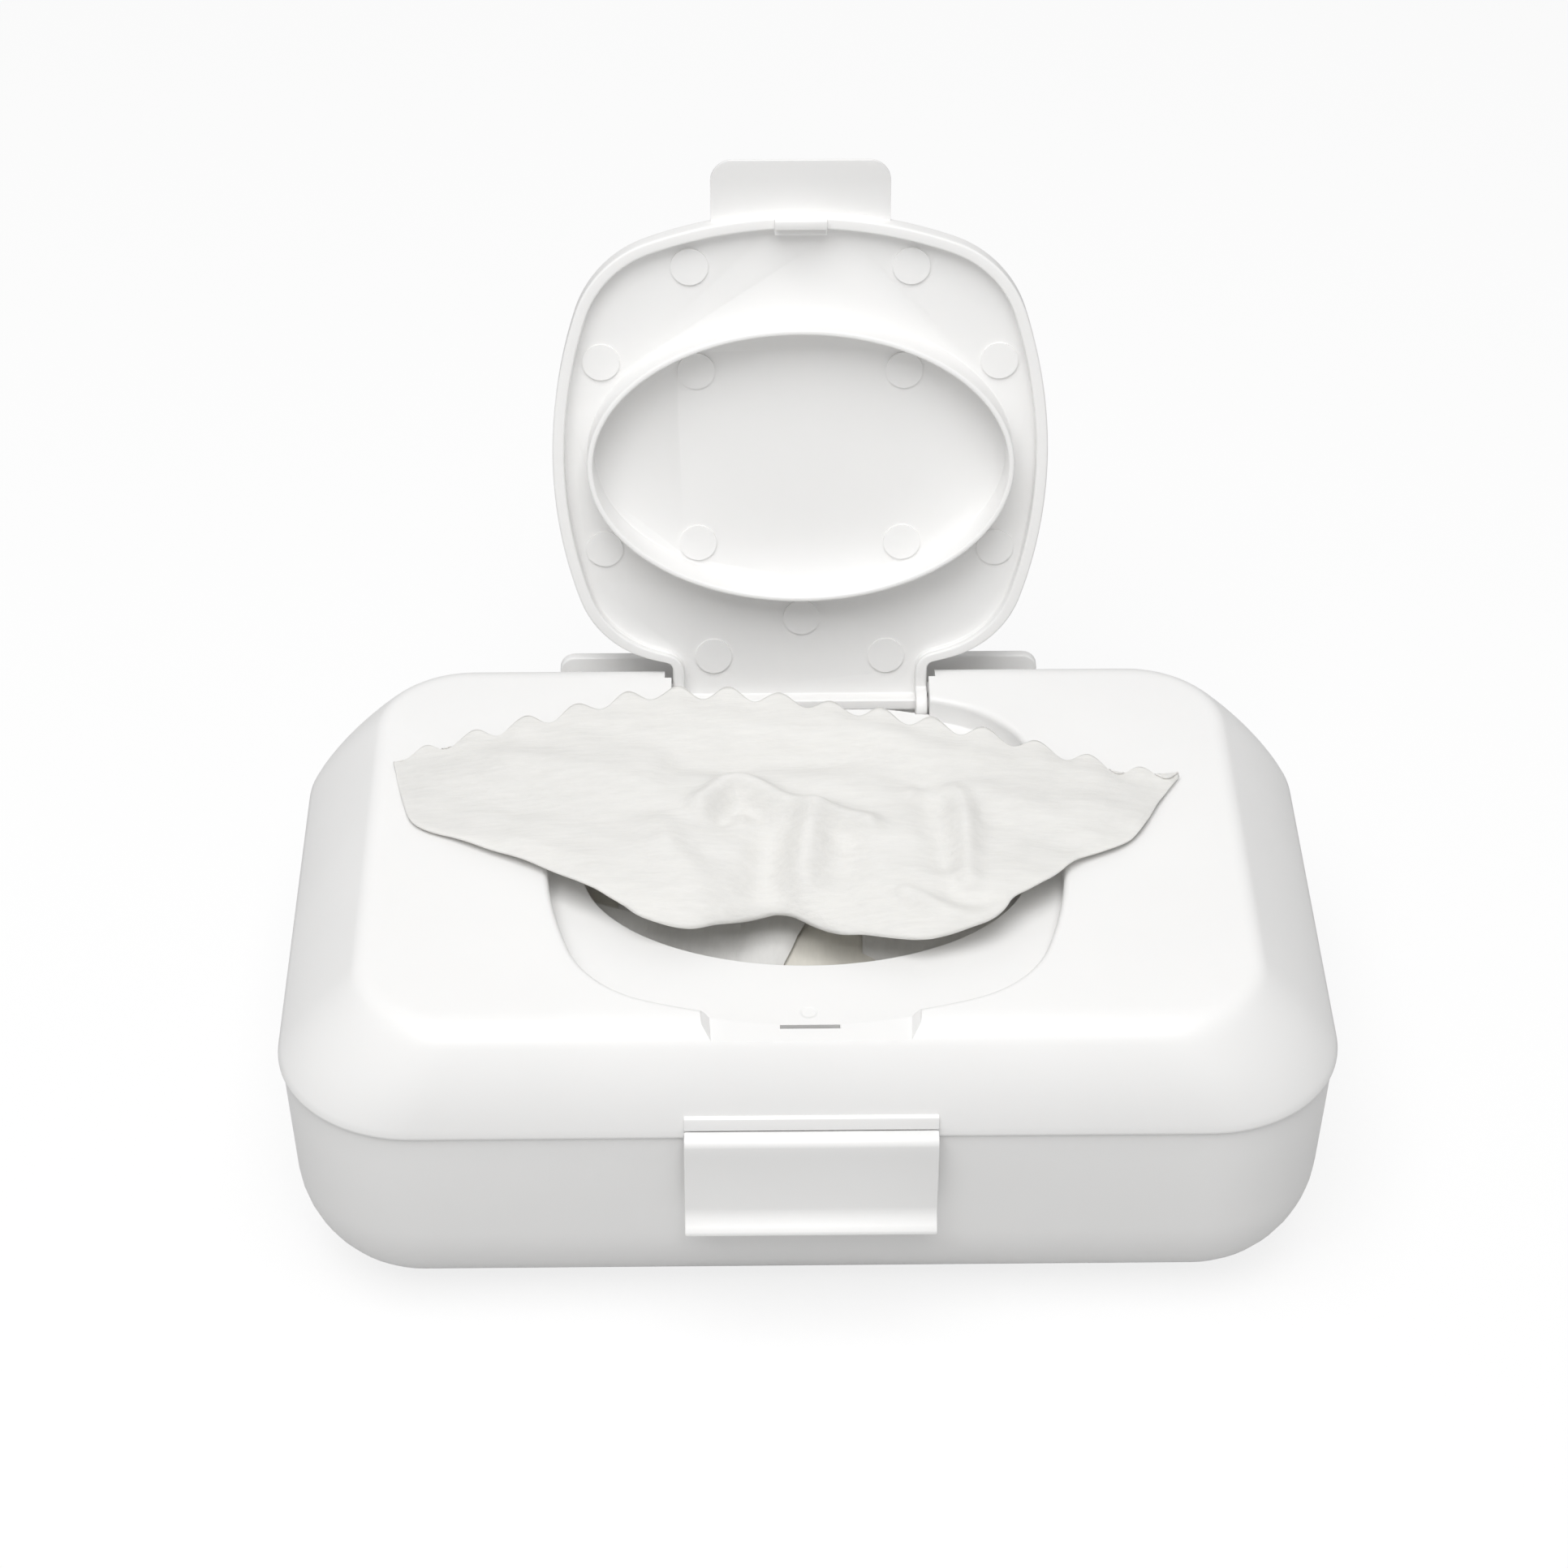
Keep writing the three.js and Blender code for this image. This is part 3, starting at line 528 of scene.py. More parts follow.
def cover_outline(drop, offset):
    inset_x = slope_inset(drop, SIDE_SLOPE) - offset
    inset_y = slope_inset(drop, END_SLOPE) - offset
    radius = RIM_CORNER - 0.9 * inset_y
    return rounded_box(RIM_HALF[0] - inset_x, RIM_HALF[1] - inset_y, radius, 24)


def cover_end_y(z):
    return RIM_HALF[1] - slope_inset(BOX_TOP - z, END_SLOPE)


def bulged_square(offset, steps=26):
    side_arc, end_arc, corner_arc = RECESS_ARCS
    side = np.array((RECESS_HALF[0] - side_arc, 0.0))
    end = np.array((0.0, RECESS_HALF[1] - end_arc))
    gap = end - side
    length = np.linalg.norm(gap)
    along = ((side_arc - corner_arc) ** 2 - (end_arc - corner_arc) ** 2 + length ** 2) / (2 * length)
    across = math.sqrt((side_arc - corner_arc) ** 2 - along ** 2)
    unit = gap / length
    corner = side + unit * along + np.array((-unit[1], unit[0])) * across
    side_turn = math.atan2(*(corner - side)[::-1])
    end_turn = math.atan2(*(corner - end)[::-1])
    quarter = []
    for centre, radius, start, stop in (
        (side, side_arc, 0, side_turn),
        (corner, corner_arc, side_turn, end_turn),
        (end, end_arc, end_turn, math.pi / 2),
    ):
        for i in range(steps):
            turn = start + (stop - start) * i / steps
            reach = radius + offset
            quarter.append((centre[0] + reach * math.cos(turn), centre[1] + reach * math.sin(turn)))
    quarter = np.array(quarter)
    tip = np.array([(0, RECESS_HALF[1] + offset)])
    left = np.concatenate([tip, quarter[:0:-1] * (-1, 1)])
    upper = np.concatenate([quarter, left])
    return np.concatenate([upper, -upper]) + (0, RECESS_Y)


def oval(half_x, half_y, centre_y, steps=160):
    turns = np.arange(steps) * 2 * math.pi / steps
    return np.stack([half_x * np.cos(turns), centre_y + half_y * np.sin(turns)], axis=1)


def opening_outline(offset):
    return oval(OPENING_HALF[0] + offset, OPENING_HALF[1] + offset, OPENING_Y)


spokes = np.arange(SPOKES) * 2 * math.pi / SPOKES


def reach_of(outline):
    dense = []
    for a, b in zip(outline, np.roll(outline, -1, axis=0)):
        count = max(int(np.linalg.norm(b - a) / 0.4), 1)
        dense.extend(a + (b - a) * i / count for i in range(count))
    dense = np.array(dense)
    turn = np.arctan2(dense[:, 1] - RECESS_Y, dense[:, 0]) % (2 * math.pi)
    distance = np.hypot(dense[:, 0], dense[:, 1] - RECESS_Y)
    order = np.argsort(turn)
    return np.interp(spokes, turn[order], distance[order], period=2 * math.pi)


def ring_at(reach):
    return np.stack([reach * np.cos(spokes), RECESS_Y + reach * np.sin(spokes)], axis=1)


drops = [COVER_FALL * (1 - i / SLOPE_STEPS) ** 1.8 for i in range(SLOPE_STEPS + 1)]
outer_reach = np.array([reach_of(cover_outline(d, 0)) for d in drops])
outer_z = np.array([BOX_TOP - d for d in drops])
inner_reach = np.array([reach_of(cover_outline(d, -COVER_WALL)) for d in drops])
inner_z = outer_z - COVER_WALL


def height_on(reaches, heights, reach):
    return np.array([np.interp(-reach[k], -reaches[:, k], heights) for k in range(SPOKES)])


lip_reach = reach_of(bulged_square(RECESS_EDGE))
land = np.maximum(outer_reach[-1], lip_reach + 0.25)
squeeze = (outer_reach[0] - land) / (outer_reach[0] - outer_reach[-1])
cover_levels = []
cover_levels.append((ring_at(outer_reach[0] - RIM_EDGE), COVER_RIM_Z))
cover_levels.append((ring_at(outer_reach[0] - 0.08), COVER_RIM_Z + 0.08))
cover_levels.append((ring_at(outer_reach[0]), COVER_RIM_Z + RIM_EDGE))
for level in range(SLOPE_STEPS + 1):
    reach = land + (outer_reach[level] - outer_reach[-1]) * squeeze
    cover_levels.append((ring_at(reach), height_on(outer_reach, outer_z, reach)))
for share_in in (0.4, 0.8, 0.96):
    reach = land + (lip_reach - land) * share_in
    cover_levels.append((ring_at(reach), height_on(outer_reach, outer_z, reach)))
edge_z = height_on(outer_reach, outer_z, lip_reach)
for outward, fall in quarter_round(RECESS_EDGE, 15):
    cover_levels.append((ring_at(reach_of(bulged_square(outward))), edge_z - fall))
for rise, inward in quarter_round(FLOOR_EDGE, 30):
    cover_levels.append((ring_at(reach_of(bulged_square(-inward))), RECESS_Z + rise))
opening_reach = reach_of(opening_outline(OPENING_EDGE))
floor_start = reach_of(bulged_square(-FLOOR_EDGE))
for share_in in (0.33, 0.66):
    cover_levels.append((ring_at(floor_start + (opening_reach - floor_start) * share_in), RECESS_Z))
for outward, fall in quarter_round(OPENING_EDGE, 18):
    cover_levels.append((ring_at(reach_of(opening_outline(outward))), RECESS_Z - fall))
for outward, rise in reversed(quarter_round(OPENING_UNDER_EDGE, 30)):
    cover_levels.append((ring_at(reach_of(opening_outline(outward))), RECESS_UNDER_Z + rise))
bowl_reach = reach_of(bulged_square(BOWL_WALL))
cover_levels.append((ring_at(bowl_reach), RECESS_UNDER_Z))
bowl_top = height_on(inner_reach, inner_z, bowl_reach)
cover_levels.append((ring_at(bowl_reach), bowl_top))
rim_inner = np.array([np.interp(COVER_RIM_Z, inner_z, inner_reach[:, k]) for k in range(SPOKES)])
for share_out in (0.08, 0.2, 0.35, 0.5, 0.65, 0.8, 0.92):
    reach = bowl_reach + (rim_inner - bowl_reach) * share_out
    cover_levels.append((ring_at(reach), height_on(inner_reach, inner_z, reach)))
cover_levels.append((ring_at(rim_inner), COVER_RIM_Z))
cover = stacked("top_cover_shell", cover_levels, 34, closed_loop=True)

rear_low = 51.2
rear_wall = [(42.9, rear_low), (cover_end_y(rear_low) - 0.9, rear_low)]
rear_wall += [(cover_end_y(z) - 0.9, z) for z in (53, 55, 57, 59, 61, 62.5)]
lower_fill = bar("lower_fill", rear_wall[:6] + [(47.4, 61), (46.4, 59.4), (42.9, 59.4)], -29.3, 29.3)
side_fills = [bar("side_fill", rear_wall + [(49.2, 64.3), (42.9, 64.3)], x, x + 5.2) for x in (-29.4, 24.2)]
flange = bar("flange", FLANGE, -22.3, 22.3, 0.25)
seat_fill = [(-50.9, 59.2)]
seat_fill += [(0.9 - cover_end_y(z), z) for z in (59.2, 60.5, 61.5, 62.4, 63.2)]
seat_fill = bar("seat_fill", seat_fill + [(-50.9, 64.6)], -21, 21)
combine(cover, [lower_fill, *side_fills, seat_fill, flange], "UNION")

knuckle_y, knuckle_z, _ = COVER_PIN
web = [
    (cover_end_y(54.6) - 0.9, 54.6), (60.6, 54.6), (knuckle_y - 1.9, knuckle_z - 1.9),
    (knuckle_y - 1.9, knuckle_z + 1.5), (cover_end_y(57.9) - 0.9, 57.9),
]
for x0, x1 in ((-19.6, -6), (6, 19.6)):
    sleeve = rod("sleeve", x0, x1, knuckle_y, knuckle_z, SLEEVE_RADIUS, 0.25)
    knuckle = combine(bar("web", web, x0, x1), [sleeve], "UNION")
    combine(cover, [knuckle], "UNION")
combine(cover, [rod("bore", -25, 25, knuckle_y, knuckle_z, KNUCKLE_BORE)], "DIFFERENCE")

flare = []
for i in range(9):
    t = i / 8
    opened = min(max(t * 2.2 - 0.75, 0), 1) ** 1.4
    flare.append((SEAT_FLOOR[0] - 3 + (BOX_TOP + 4 - SEAT_FLOOR[0]) * t, SEAT_HALF + SEAT_FLARE * opened))
flare_outline = [(z, x) for z, x in flare] + [(z, -x) for z, x in reversed(flare)]
seat = slab("seat", flare_outline, -62, -45.5, 0.01, "xz", steps=1)
seat_bar = bar("seat_bar", [
    (-59.7, 61.3), (-55.7, SEAT_FLOOR[0]), (-46.3, SEAT_FLOOR[1]), (-46.3, 67), (-59.7, 67),
], -30, 30)
combine(seat, [seat_bar], "INTERSECT")
catch_slot = block("slot", -5.4, 5.2, -51.3, -46.9, 57.6, 63.8)
lid_bores = rod("lid_bores", -29.2, 29.2, *LID_HINGE, LID_BORE)
pocket_cuts = [
    block("pocket", -POCKET_HALF, POCKET_HALF, 45.6, 54.1, 53, 67),
    block("passage", -POCKET_HALF, POCKET_HALF, 39, 46, RECESS_Z + 0.005, 67),
    block("cheek_left", -POCKET_HALF, -22.2, 43.9, 46, 55.6, 61),
    block("cheek_right", 22.2, POCKET_HALF, 43.9, 46, 55.6, 61),
    block("notch", -POCKET_REAR_HALF, POCKET_REAR_HALF, 49.2, 54.1, 53, 67),
    block("rear_cut", -POCKET_REAR_HALF, POCKET_REAR_HALF, 53.9, 64, 57.9, 67),
]
combine(cover, [seat, catch_slot, lid_bores, *pocket_cuts], "DIFFERENCE", 34)
dress(cover, plastic_material("cover_plastic", PLASTIC_COLOUR, GATE_MARKS))
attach(cover, "cover")
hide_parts("top_cover")


# Flip lid: a plate with a skirt, a neck with two lugs and pins that snap into the cover, a ring
# that drops into the opening, a hook for the catch and a bent finger tab. Drawn shut, then
# turned open in the mesh. The ejector pins of its mould leave thirteen round marks inside.
LID_GAP = 0.4
LID_END_Z = 60.5
LID_UNDER_Z = 63.7
SKIRT = 2.2
NECK_REAR_Y = 48.9
NECK_FILLET = 1.3
LID_EDGE = 0.8
LID_END_EDGE = 0.45
LID_INNER_EDGE = 0.4
LID_INNER_FILLET = 0.45
LID_OPEN_ANGLE = 103.7
RING_HALF = (40.26, 27.07)
RING_Y = -2.9
RING_END_Z = 55.2
RING_WALL = 1.1
RING_OUTER_EDGE = 0.45
RING_INNER_EDGE = 0.4
TAB_HALF = 16.7
TAB_ROOT_Y = -46.2
TAB_TIP_Y = -60.5
TAB_DROOP = 3.1
TAB_CORNER = 4.5
WRAP_RADIUS = 6
LUG_RADIUS = 3.4
LUG_WIDTH = 2.2
LID_PIN_RADIUS = 1.8
MARK_RADIUS = 3.5
MARK_PROUD = 0.45


def lid_outline(z, amount=0.0):
    hinge_y, hinge_z = LID_HINGE
    nominal = bulged_square(-LID_GAP)
    points = bulged_square(-LID_GAP - amount)
    drawn = []
    for x, y in points:
        if y > RECESS_Y:
            y = hinge_y - math.sqrt((hinge_y - y) ** 2 + 36 - (z - hinge_z) ** 2)
        drawn.append((x, y))
    drawn = np.array(drawn)
    neck_half = NECK_HALF - amount
    fillet = NECK_FILLET + amount
    rear = NECK_REAR_Y - amount
    right = drawn[(drawn[:, 0] > 0) & (drawn[:, 1] > 20)]
    right = right[np.argsort(right[:, 0])]
    corner_y = float(np.interp(neck_half, right[:, 0], right[:, 1]))
    meet_y = float(np.interp(neck_half + fillet, right[:, 0], right[:, 1]))
    bend = []
    for i in range(7):
        t = i / 6
        x = (1 - t) ** 2 * (neck_half + fillet) + 2 * t * (1 - t) * neck_half + t * t * neck_half
        y = (1 - t) ** 2 * meet_y + 2 * t * (1 - t) * corner_y + t * t * (corner_y + fillet)
        bend.append((x, y))
    bend.append((neck_half, rear))
    neck = bend + [(-x, y) for x, y in reversed(bend)]
    body = drawn[(nominal[:, 1] <= 20) | (np.abs(nominal[:, 0]) > NECK_HALF + NECK_FILLET + 1.1)]
    turn = np.arctan2(body[:, 1] - RECESS_Y, body[:, 0])
    turn = (turn - math.pi / 2) % (2 * math.pi)
    body = body[np.argsort(turn)]
    return np.concatenate([body, np.array(neck)])


lid_levels = []
for inward, rise in quarter_round(LID_END_EDGE, 18):
    lid_levels.append((lid_outline(LID_END_Z, inward), LID_END_Z + rise))
lid_levels += [(lid_outline(z), z) for z in (61.8, 63, 64.2)]
for turn in range(0, 91, 18):
    amount = LID_EDGE * (1 - math.cos(math.radians(turn)))
    z = BOX_TOP - LID_EDGE * (1 - math.sin(math.radians(turn)))
    lid_levels.append((lid_outline(z, amount), z))
inner_levels = []
for outward, rise in quarter_round(LID_INNER_EDGE, 18):
    inner_levels.append((lid_outline(LID_END_Z, SKIRT - outward), LID_END_Z + rise))
inner_levels += [(lid_outline(z, SKIRT), z) for z in (61.8, 63)]
for fall, inward in quarter_round(LID_INNER_FILLET, 22):
    inner_levels.append((lid_outline(62, SKIRT + inward), LID_UNDER_Z - fall))
lid = stacked("flip_lid_shell", [*reversed(inner_levels), *lid_levels], 34)


def ring_outline(offset):
    return oval(RING_HALF[0] + offset, RING_HALF[1] + offset, RING_Y)


ring_levels = []
for inward, rise in quarter_round(RING_OUTER_EDGE, 22):
    ring_levels.append((ring_outline(-inward), RING_END_Z + rise))
for offset, z in (
    (0, -0.5), (0.15, -0.15), (0.5, 0.05), (0.5, 0.6), (-1.7, 0.6), (-1.7, 0.05), (-1.25, -0.2), (-1.1, -0.6),
):
    ring_levels.append((ring_outline(offset), LID_UNDER_Z + z))
for turn in range(90, -1, -22):
    offset = RING_INNER_EDGE * (1 - math.sin(math.radians(turn))) - RING_WALL
    z = RING_END_Z + RING_INNER_EDGE * (1 - math.cos(math.radians(turn)))
    ring_levels.append((ring_outline(offset), z))
lid_ring = stacked("lid_ring", ring_levels, 40, closed_loop=True)

hinge_y, hinge_z = LID_HINGE
wrap = arc(hinge_y, hinge_z, WRAP_RADIUS, 90, 8, 16) + arc(hinge_y, hinge_z, WRAP_RADIUS - 0.7, 2, -2, 2)
wrap += arc(hinge_y, hinge_z, WRAP_RADIUS - 1.8, 0, 78, 12)
wrap += [(hinge_y, LID_UNDER_Z + 0.3), (hinge_y - 1, 64.3), (hinge_y - 1, BOX_TOP)]
neck_wrap = bar("neck_wrap", wrap, -NECK_HALF, NECK_HALF, 0.4)
lug_section = [(43.6, 63.9), (43.6, 61), *arc(hinge_y, hinge_z, LUG_RADIUS, 172, 340, 18)]
lug_section += arc(hinge_y, hinge_z, WRAP_RADIUS - 0.9, 0, 84, 8)
lugs = [bar("lug", lug_section, x, x + LUG_WIDTH, 0.3) for x in (-NECK_HALF, NECK_HALF - LUG_WIDTH)]
pins = [rod("pin", x, x + 5.4, hinge_y, hinge_z, LID_PIN_RADIUS, 0.4) for x in (-28.9, 23.5)]
hook = bar("hook", [(-49.7, 64.2), (-49.7, 58.9), (-50.05, 58.6), (-49.7, 58.2), (-49, 58.1), (-48.1, 58.5),
                    (-48.1, 60.5), (-46.5, 60.6), (-46.5, 64.2)], -4.9, 4.9, 0.3)
hook_step = block("hook_step", -6.6, 6.6, -49.5, -47.4, 60.9, 64.2, 0.2)
upper = []
lower = []
for i in range(19):
    t = i / 18
    y = TAB_ROOT_Y + (TAB_TIP_Y - TAB_ROOT_Y) * t
    z = BOX_TOP - TAB_DROOP * t ** 2
    upper.append((y, z - 0.02 * (1 - t)))
    lower.append((y, z - 1.8 + 0.9 * t))
tip_y, tip_z = upper[-1]
tab_section = upper[:-1]
tab_section += [(tip_y + 0.1, tip_z - 0.05), (tip_y - 0.05, tip_z - 0.45), (tip_y + 0.1, tip_z - 0.85)]
tab_section += lower[:-1][::-1]
tab = bar("tab", tab_section, -TAB_HALF - 1, TAB_HALF + 1)
tab_plan = slab("tab_plan", rounded_box(TAB_HALF, 14.6, TAB_CORNER, 12) + (0, TAB_TIP_Y + 14.55), 56, 68, 0)
combine(tab, [tab_plan], "INTERSECT")
soften = tab.modifiers.new("edge", "BEVEL")
soften.width = 0.35 * MM
soften.segments = 3
soften.limit_method = "ANGLE"
soften.angle_limit = math.radians(50)
baked(tab)
combine(lid, [neck_wrap, *lugs, *pins, lid_ring, hook_step, hook, tab], "UNION", 36)

mark_points = bpy.data.meshes.new("lid_marks")
mark_points.from_pydata([(x * MM, y * MM, LID_UNDER_Z * MM) for x, y in (
    (-20.7, -39.7), (20.7, -39.7), (-37.5, -21.2), (37.5, -21.2), (-19.6, -19.4), (19.6, -19.4),
    (-19.5, 15), (19.5, 15), (-37.4, 16.2), (37.4, 16.2), (0.3, 30.5), (-16.7, 38.5), (16.7, 38.5),
)], [], [])
lid_marks = bpy.data.objects.new("lid_marks", mark_points)
scene.collection.objects.link(lid_marks)


def layout(name, inputs):
    group = bpy.data.node_groups.new(name, "GeometryNodeTree")
    group.is_modifier = True
    group.interface.new_socket("Geometry", in_out="INPUT", socket_type="NodeSocketGeometry")
    sockets = {
        label: group.interface.new_socket(label, in_out="INPUT", socket_type="NodeSocket" + kind).identifier
        for label, kind in inputs
    }
    group.interface.new_socket("Geometry", in_out="OUTPUT", socket_type="NodeSocketGeometry")
    return group, sockets


def finish_layout(group, entry, instances):
    realize = group.nodes.new("GeometryNodeRealizeInstances")
    set_material = group.nodes.new("GeometryNodeSetMaterial")
    exit_node = group.nodes.new("NodeGroupOutput")
    group.links.new(instances, realize.inputs["Geometry"])
    group.links.new(realize.outputs["Geometry"], set_material.inputs["Geometry"])
    group.links.new(entry.outputs["Material"], set_material.inputs["Material"])
    group.links.new(set_material.outputs["Geometry"], exit_node.inputs["Geometry"])


def grow(obj, group, sockets, values):
    modifier = obj.modifiers.new(group.name, "NODES")
    modifier.node_group = group
    for label, value in values.items():
        modifier[sockets[label]] = value
    return baked(obj)


group, sockets = layout("round_marks", (("Radius", "Float"), ("Proud", "Float"), ("Material", "Material")))
entry = group.nodes.new("NodeGroupInput")
to_points = group.nodes.new("GeometryNodeMeshToPoints")
disc = group.nodes.new("GeometryNodeMeshCylinder")
disc.inputs["Vertices"].default_value = 48
double = group.nodes.new("ShaderNodeMath")
double.operation = "MULTIPLY"
double.inputs[1].default_value = 2
place_discs = group.nodes.new("GeometryNodeInstanceOnPoints")
group.links.new(entry.outputs["Geometry"], to_points.inputs["Mesh"])
group.links.new(entry.outputs["Radius"], disc.inputs["Radius"])
group.links.new(entry.outputs["Proud"], double.inputs[0])
group.links.new(double.outputs[0], disc.inputs["Depth"])
group.links.new(to_points.outputs["Points"], place_discs.inputs["Points"])
group.links.new(disc.outputs["Mesh"], place_discs.inputs["Instance"])
finish_layout(group, entry, place_discs.outputs["Instances"])
lid_plastic = plastic_material("lid_plastic", PLASTIC_COLOUR)
mark_values = {"Radius": MARK_RADIUS * MM, "Proud": MARK_PROUD * MM, "Material": lid_plastic}
grow(lid_marks, group, sockets, mark_values)
combine(lid, [lid_marks], "UNION", 36)
swing = math.radians(LID_OPEN_ANGLE)
for vertex in lid.data.vertices:
    x, y, z = vertex.co / MM
    dy = y - hinge_y
    dz = z - hinge_z
    vertex.co = Vector((
        x,
        hinge_y + math.cos(swing) * dy + math.sin(swing) * dz,
        hinge_z - math.sin(swing) * dy + math.cos(swing) * dz,
    )) * MM
lid.data.update()
shade(lid, 36)
dress(lid, lid_plastic)
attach(lid, "lid")
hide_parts("flip_lid")


# Front clip: a hanging plate moulded on the cover's flange by a thin bending web. Its round
# shoulder and flared lip show, and a nib behind it snaps under the tub's rib.
CLIP_HALF = 22.3
CLIP_FACE_Y = -63.8
CLIP_INNER_Y = -62.2
CLIP_LOW_Z = 27.6
CLIP_EDGE = 0.35
NIB = [(-62.5, 35.4), (-62.5, 32.4), (-61.0, 33.4), (-61.0, 35.4)]
NIB_HALF = 17
clip_section = [(-61.3, 48.2), (-61.37, 48.2), (-62.2, 47.85)]
clip_section += arc(-62.3, 46.35, 1.5, 90, 178, 7)[1:]
clip_section += [(CLIP_FACE_Y, 44.6), (CLIP_FACE_Y, 32.2), (-63.95, 31.2), (-64.5, 30.1), (-65.3, 29.2)]
clip_section += [(-66.05, 28.6), (-66.2, 28.2), (-66.2, 27.85), (-65.95, CLIP_LOW_Z), (-65.5, 27.65)]
clip_section += [(-64.2, 28.3), (-63.1, 29.6), (-62.4, 30.8)]
clip_section += [(CLIP_INNER_Y, 31.6), (CLIP_INNER_Y, 43.7), (-61.3, 45.6)]
clip = bar("front_clip_body", clip_section, -CLIP_HALF, CLIP_HALF, CLIP_EDGE)
nib = bar("nib", NIB, -NIB_HALF, NIB_HALF, 0.2)
combine(clip, [nib], "UNION", 30)
dress(clip, plastic_material("clip_plastic", PLASTIC_COLOUR))
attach(clip, "clip")
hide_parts("front_clip")


# Cloth skin shared by the wipes: damp nonwoven with fine fibres that run along the sheet,
# a soft mottle where it is wetter, and a little light let through.
CLOTH_LET_THROUGH = 0.13
FIBRE_TURN = -9


def cloth_material(name, colour, stretch, strength, mottle):
    material = bpy.data.materials.new(name)
    material.use_nodes = True
    tree = material.node_tree
    shader = tree.nodes["Principled BSDF"]
    shader.inputs["Roughness"].default_value = 0.82
    shader.inputs["Specular IOR Level"].default_value = 0.25
    shader.inputs["Subsurface Weight"].default_value = 0.2
    shader.inputs["Subsurface Radius"].default_value = (1, 0.95, 0.88)
    shader.inputs["Subsurface Scale"].default_value = 0.001
    place = tree.nodes.new("ShaderNodeTexCoord")
    along = tree.nodes.new("ShaderNodeMapping")
    along.inputs["Rotation"].default_value = (0, 0, math.radians(FIBRE_TURN))
    along.inputs["Scale"].default_value = stretch
    tree.links.new(place.outputs["Object"], along.inputs["Vector"])
    fibres = noise(tree, along.outputs["Vector"], 900, 4)
    fibres.inputs["Roughness"].default_value = 0.65
    mottled = noise(tree, along.outputs["Vector"], 90, 3)
    both = tree.nodes.new("ShaderNodeMath")
    both.operation = "MULTIPLY"
    tree.links.new(spread(tree, mottled.outputs["Fac"], 1 - mottle, 1.0).outputs["Result"], both.inputs[0])
    tree.links.new(spread(tree, fibres.outputs["Fac"], 0.94, 1.0).outputs["Result"], both.inputs[1])
    tint = scaled_colour(tree, colour, both.outputs[0])
    tree.links.new(tint, shader.inputs["Base Color"])
    normal = relief(tree, fibres.outputs["Fac"], strength, 0.25 * MM)
    tree.links.new(normal, shader.inputs["Normal"])
    through = tree.nodes.new("ShaderNodeBsdfTranslucent")
    tree.links.new(tint, through.inputs["Color"])
    thin = tree.nodes.new("ShaderNodeMixShader")
    thin.inputs[0].default_value = CLOTH_LET_THROUGH
    tree.links.new(shader.outputs["BSDF"], thin.inputs[1])
    tree.links.new(through.outputs["BSDF"], thin.inputs[2])
    tree.links.new(thin.outputs["Shader"], tree.nodes["Material Output"].inputs["Surface"])
    return material


# Stack: folded damp wipes interleaved in the tub, each a soft-edged layer a little off the one
# below. Near the rounded foot of the tub the layers are pressed narrower.
STACK_HALF = (76.6, 40.6)
STACK_SHIFT = -4.5
STACK_LOW_Z = 2.6
STACK_TOP_Z = 51.4
LAYER_HEIGHT = 2.2
LAYER_COUNT = 22
layer_levels = []
for turn in range(-90, 91, 30):
    amount = 1.0 * (1 - math.cos(math.radians(turn)))
    layer_levels.append((rounded_box(STACK_HALF[0] - amount, STACK_HALF[1] - amount, 6, 5),
                         LAYER_HEIGHT * 0.53 * math.sin(math.radians(turn))))
layer = stacked("layer", layer_levels, 60)
stack_mesh = bpy.data.meshes.new("wipe_stack")
stack_mesh.from_pydata([(0, 0, 0)], [], [])
stack = bpy.data.objects.new("wipe_stack_layers", stack_mesh)
scene.collection.objects.link(stack)
group, sockets = layout("folded_layers", (
    ("Layer", "Object"), ("Count", "Int"), ("Step", "Float"), ("Material", "Material"),
))
entry = group.nodes.new("NodeGroupInput")
line = group.nodes.new("GeometryNodeMeshLine")
line.inputs["Start Location"].default_value = (0, STACK_SHIFT * MM, (STACK_LOW_Z + LAYER_HEIGHT / 2) * MM)
rise = group.nodes.new("ShaderNodeCombineXYZ")
to_points = group.nodes.new("GeometryNodeMeshToPoints")
layer_info = group.nodes.new("GeometryNodeObjectInfo")
place_layers = group.nodes.new("GeometryNodeInstanceOnPoints")
index = group.nodes.new("GeometryNodeInputIndex")
narrow = group.nodes.new("ShaderNodeMapRange")
narrow.interpolation_type = "SMOOTHSTEP"
narrow.inputs["From Min"].default_value = -1
narrow.inputs["From Max"].default_value = 7
narrow.inputs["To Min"].default_value = 0.885
narrow.inputs["To Max"].default_value = 0.985
shape = group.nodes.new("ShaderNodeCombineXYZ")
shape.inputs["Z"].default_value = 1
jitter = group.nodes.new("FunctionNodeRandomValue")
jitter.data_type = "FLOAT_VECTOR"
jitter.inputs["Min"].default_value = (-0.0007, -0.0006, 0)
jitter.inputs["Max"].default_value = (0.0007, 0.0006, 0)
jitter.inputs["Seed"].default_value = 4
nudge = group.nodes.new("GeometryNodeSetPosition")
group.links.new(entry.outputs["Count"], line.inputs["Count"])
group.links.new(entry.outputs["Step"], rise.inputs["Z"])
group.links.new(rise.outputs["Vector"], line.inputs["Offset"])
group.links.new(line.outputs["Mesh"], nudge.inputs["Geometry"])
group.links.new(jitter.outputs["Value"], nudge.inputs["Offset"])
group.links.new(nudge.outputs["Geometry"], to_points.inputs["Mesh"])
group.links.new(entry.outputs["Layer"], layer_info.inputs["Object"])
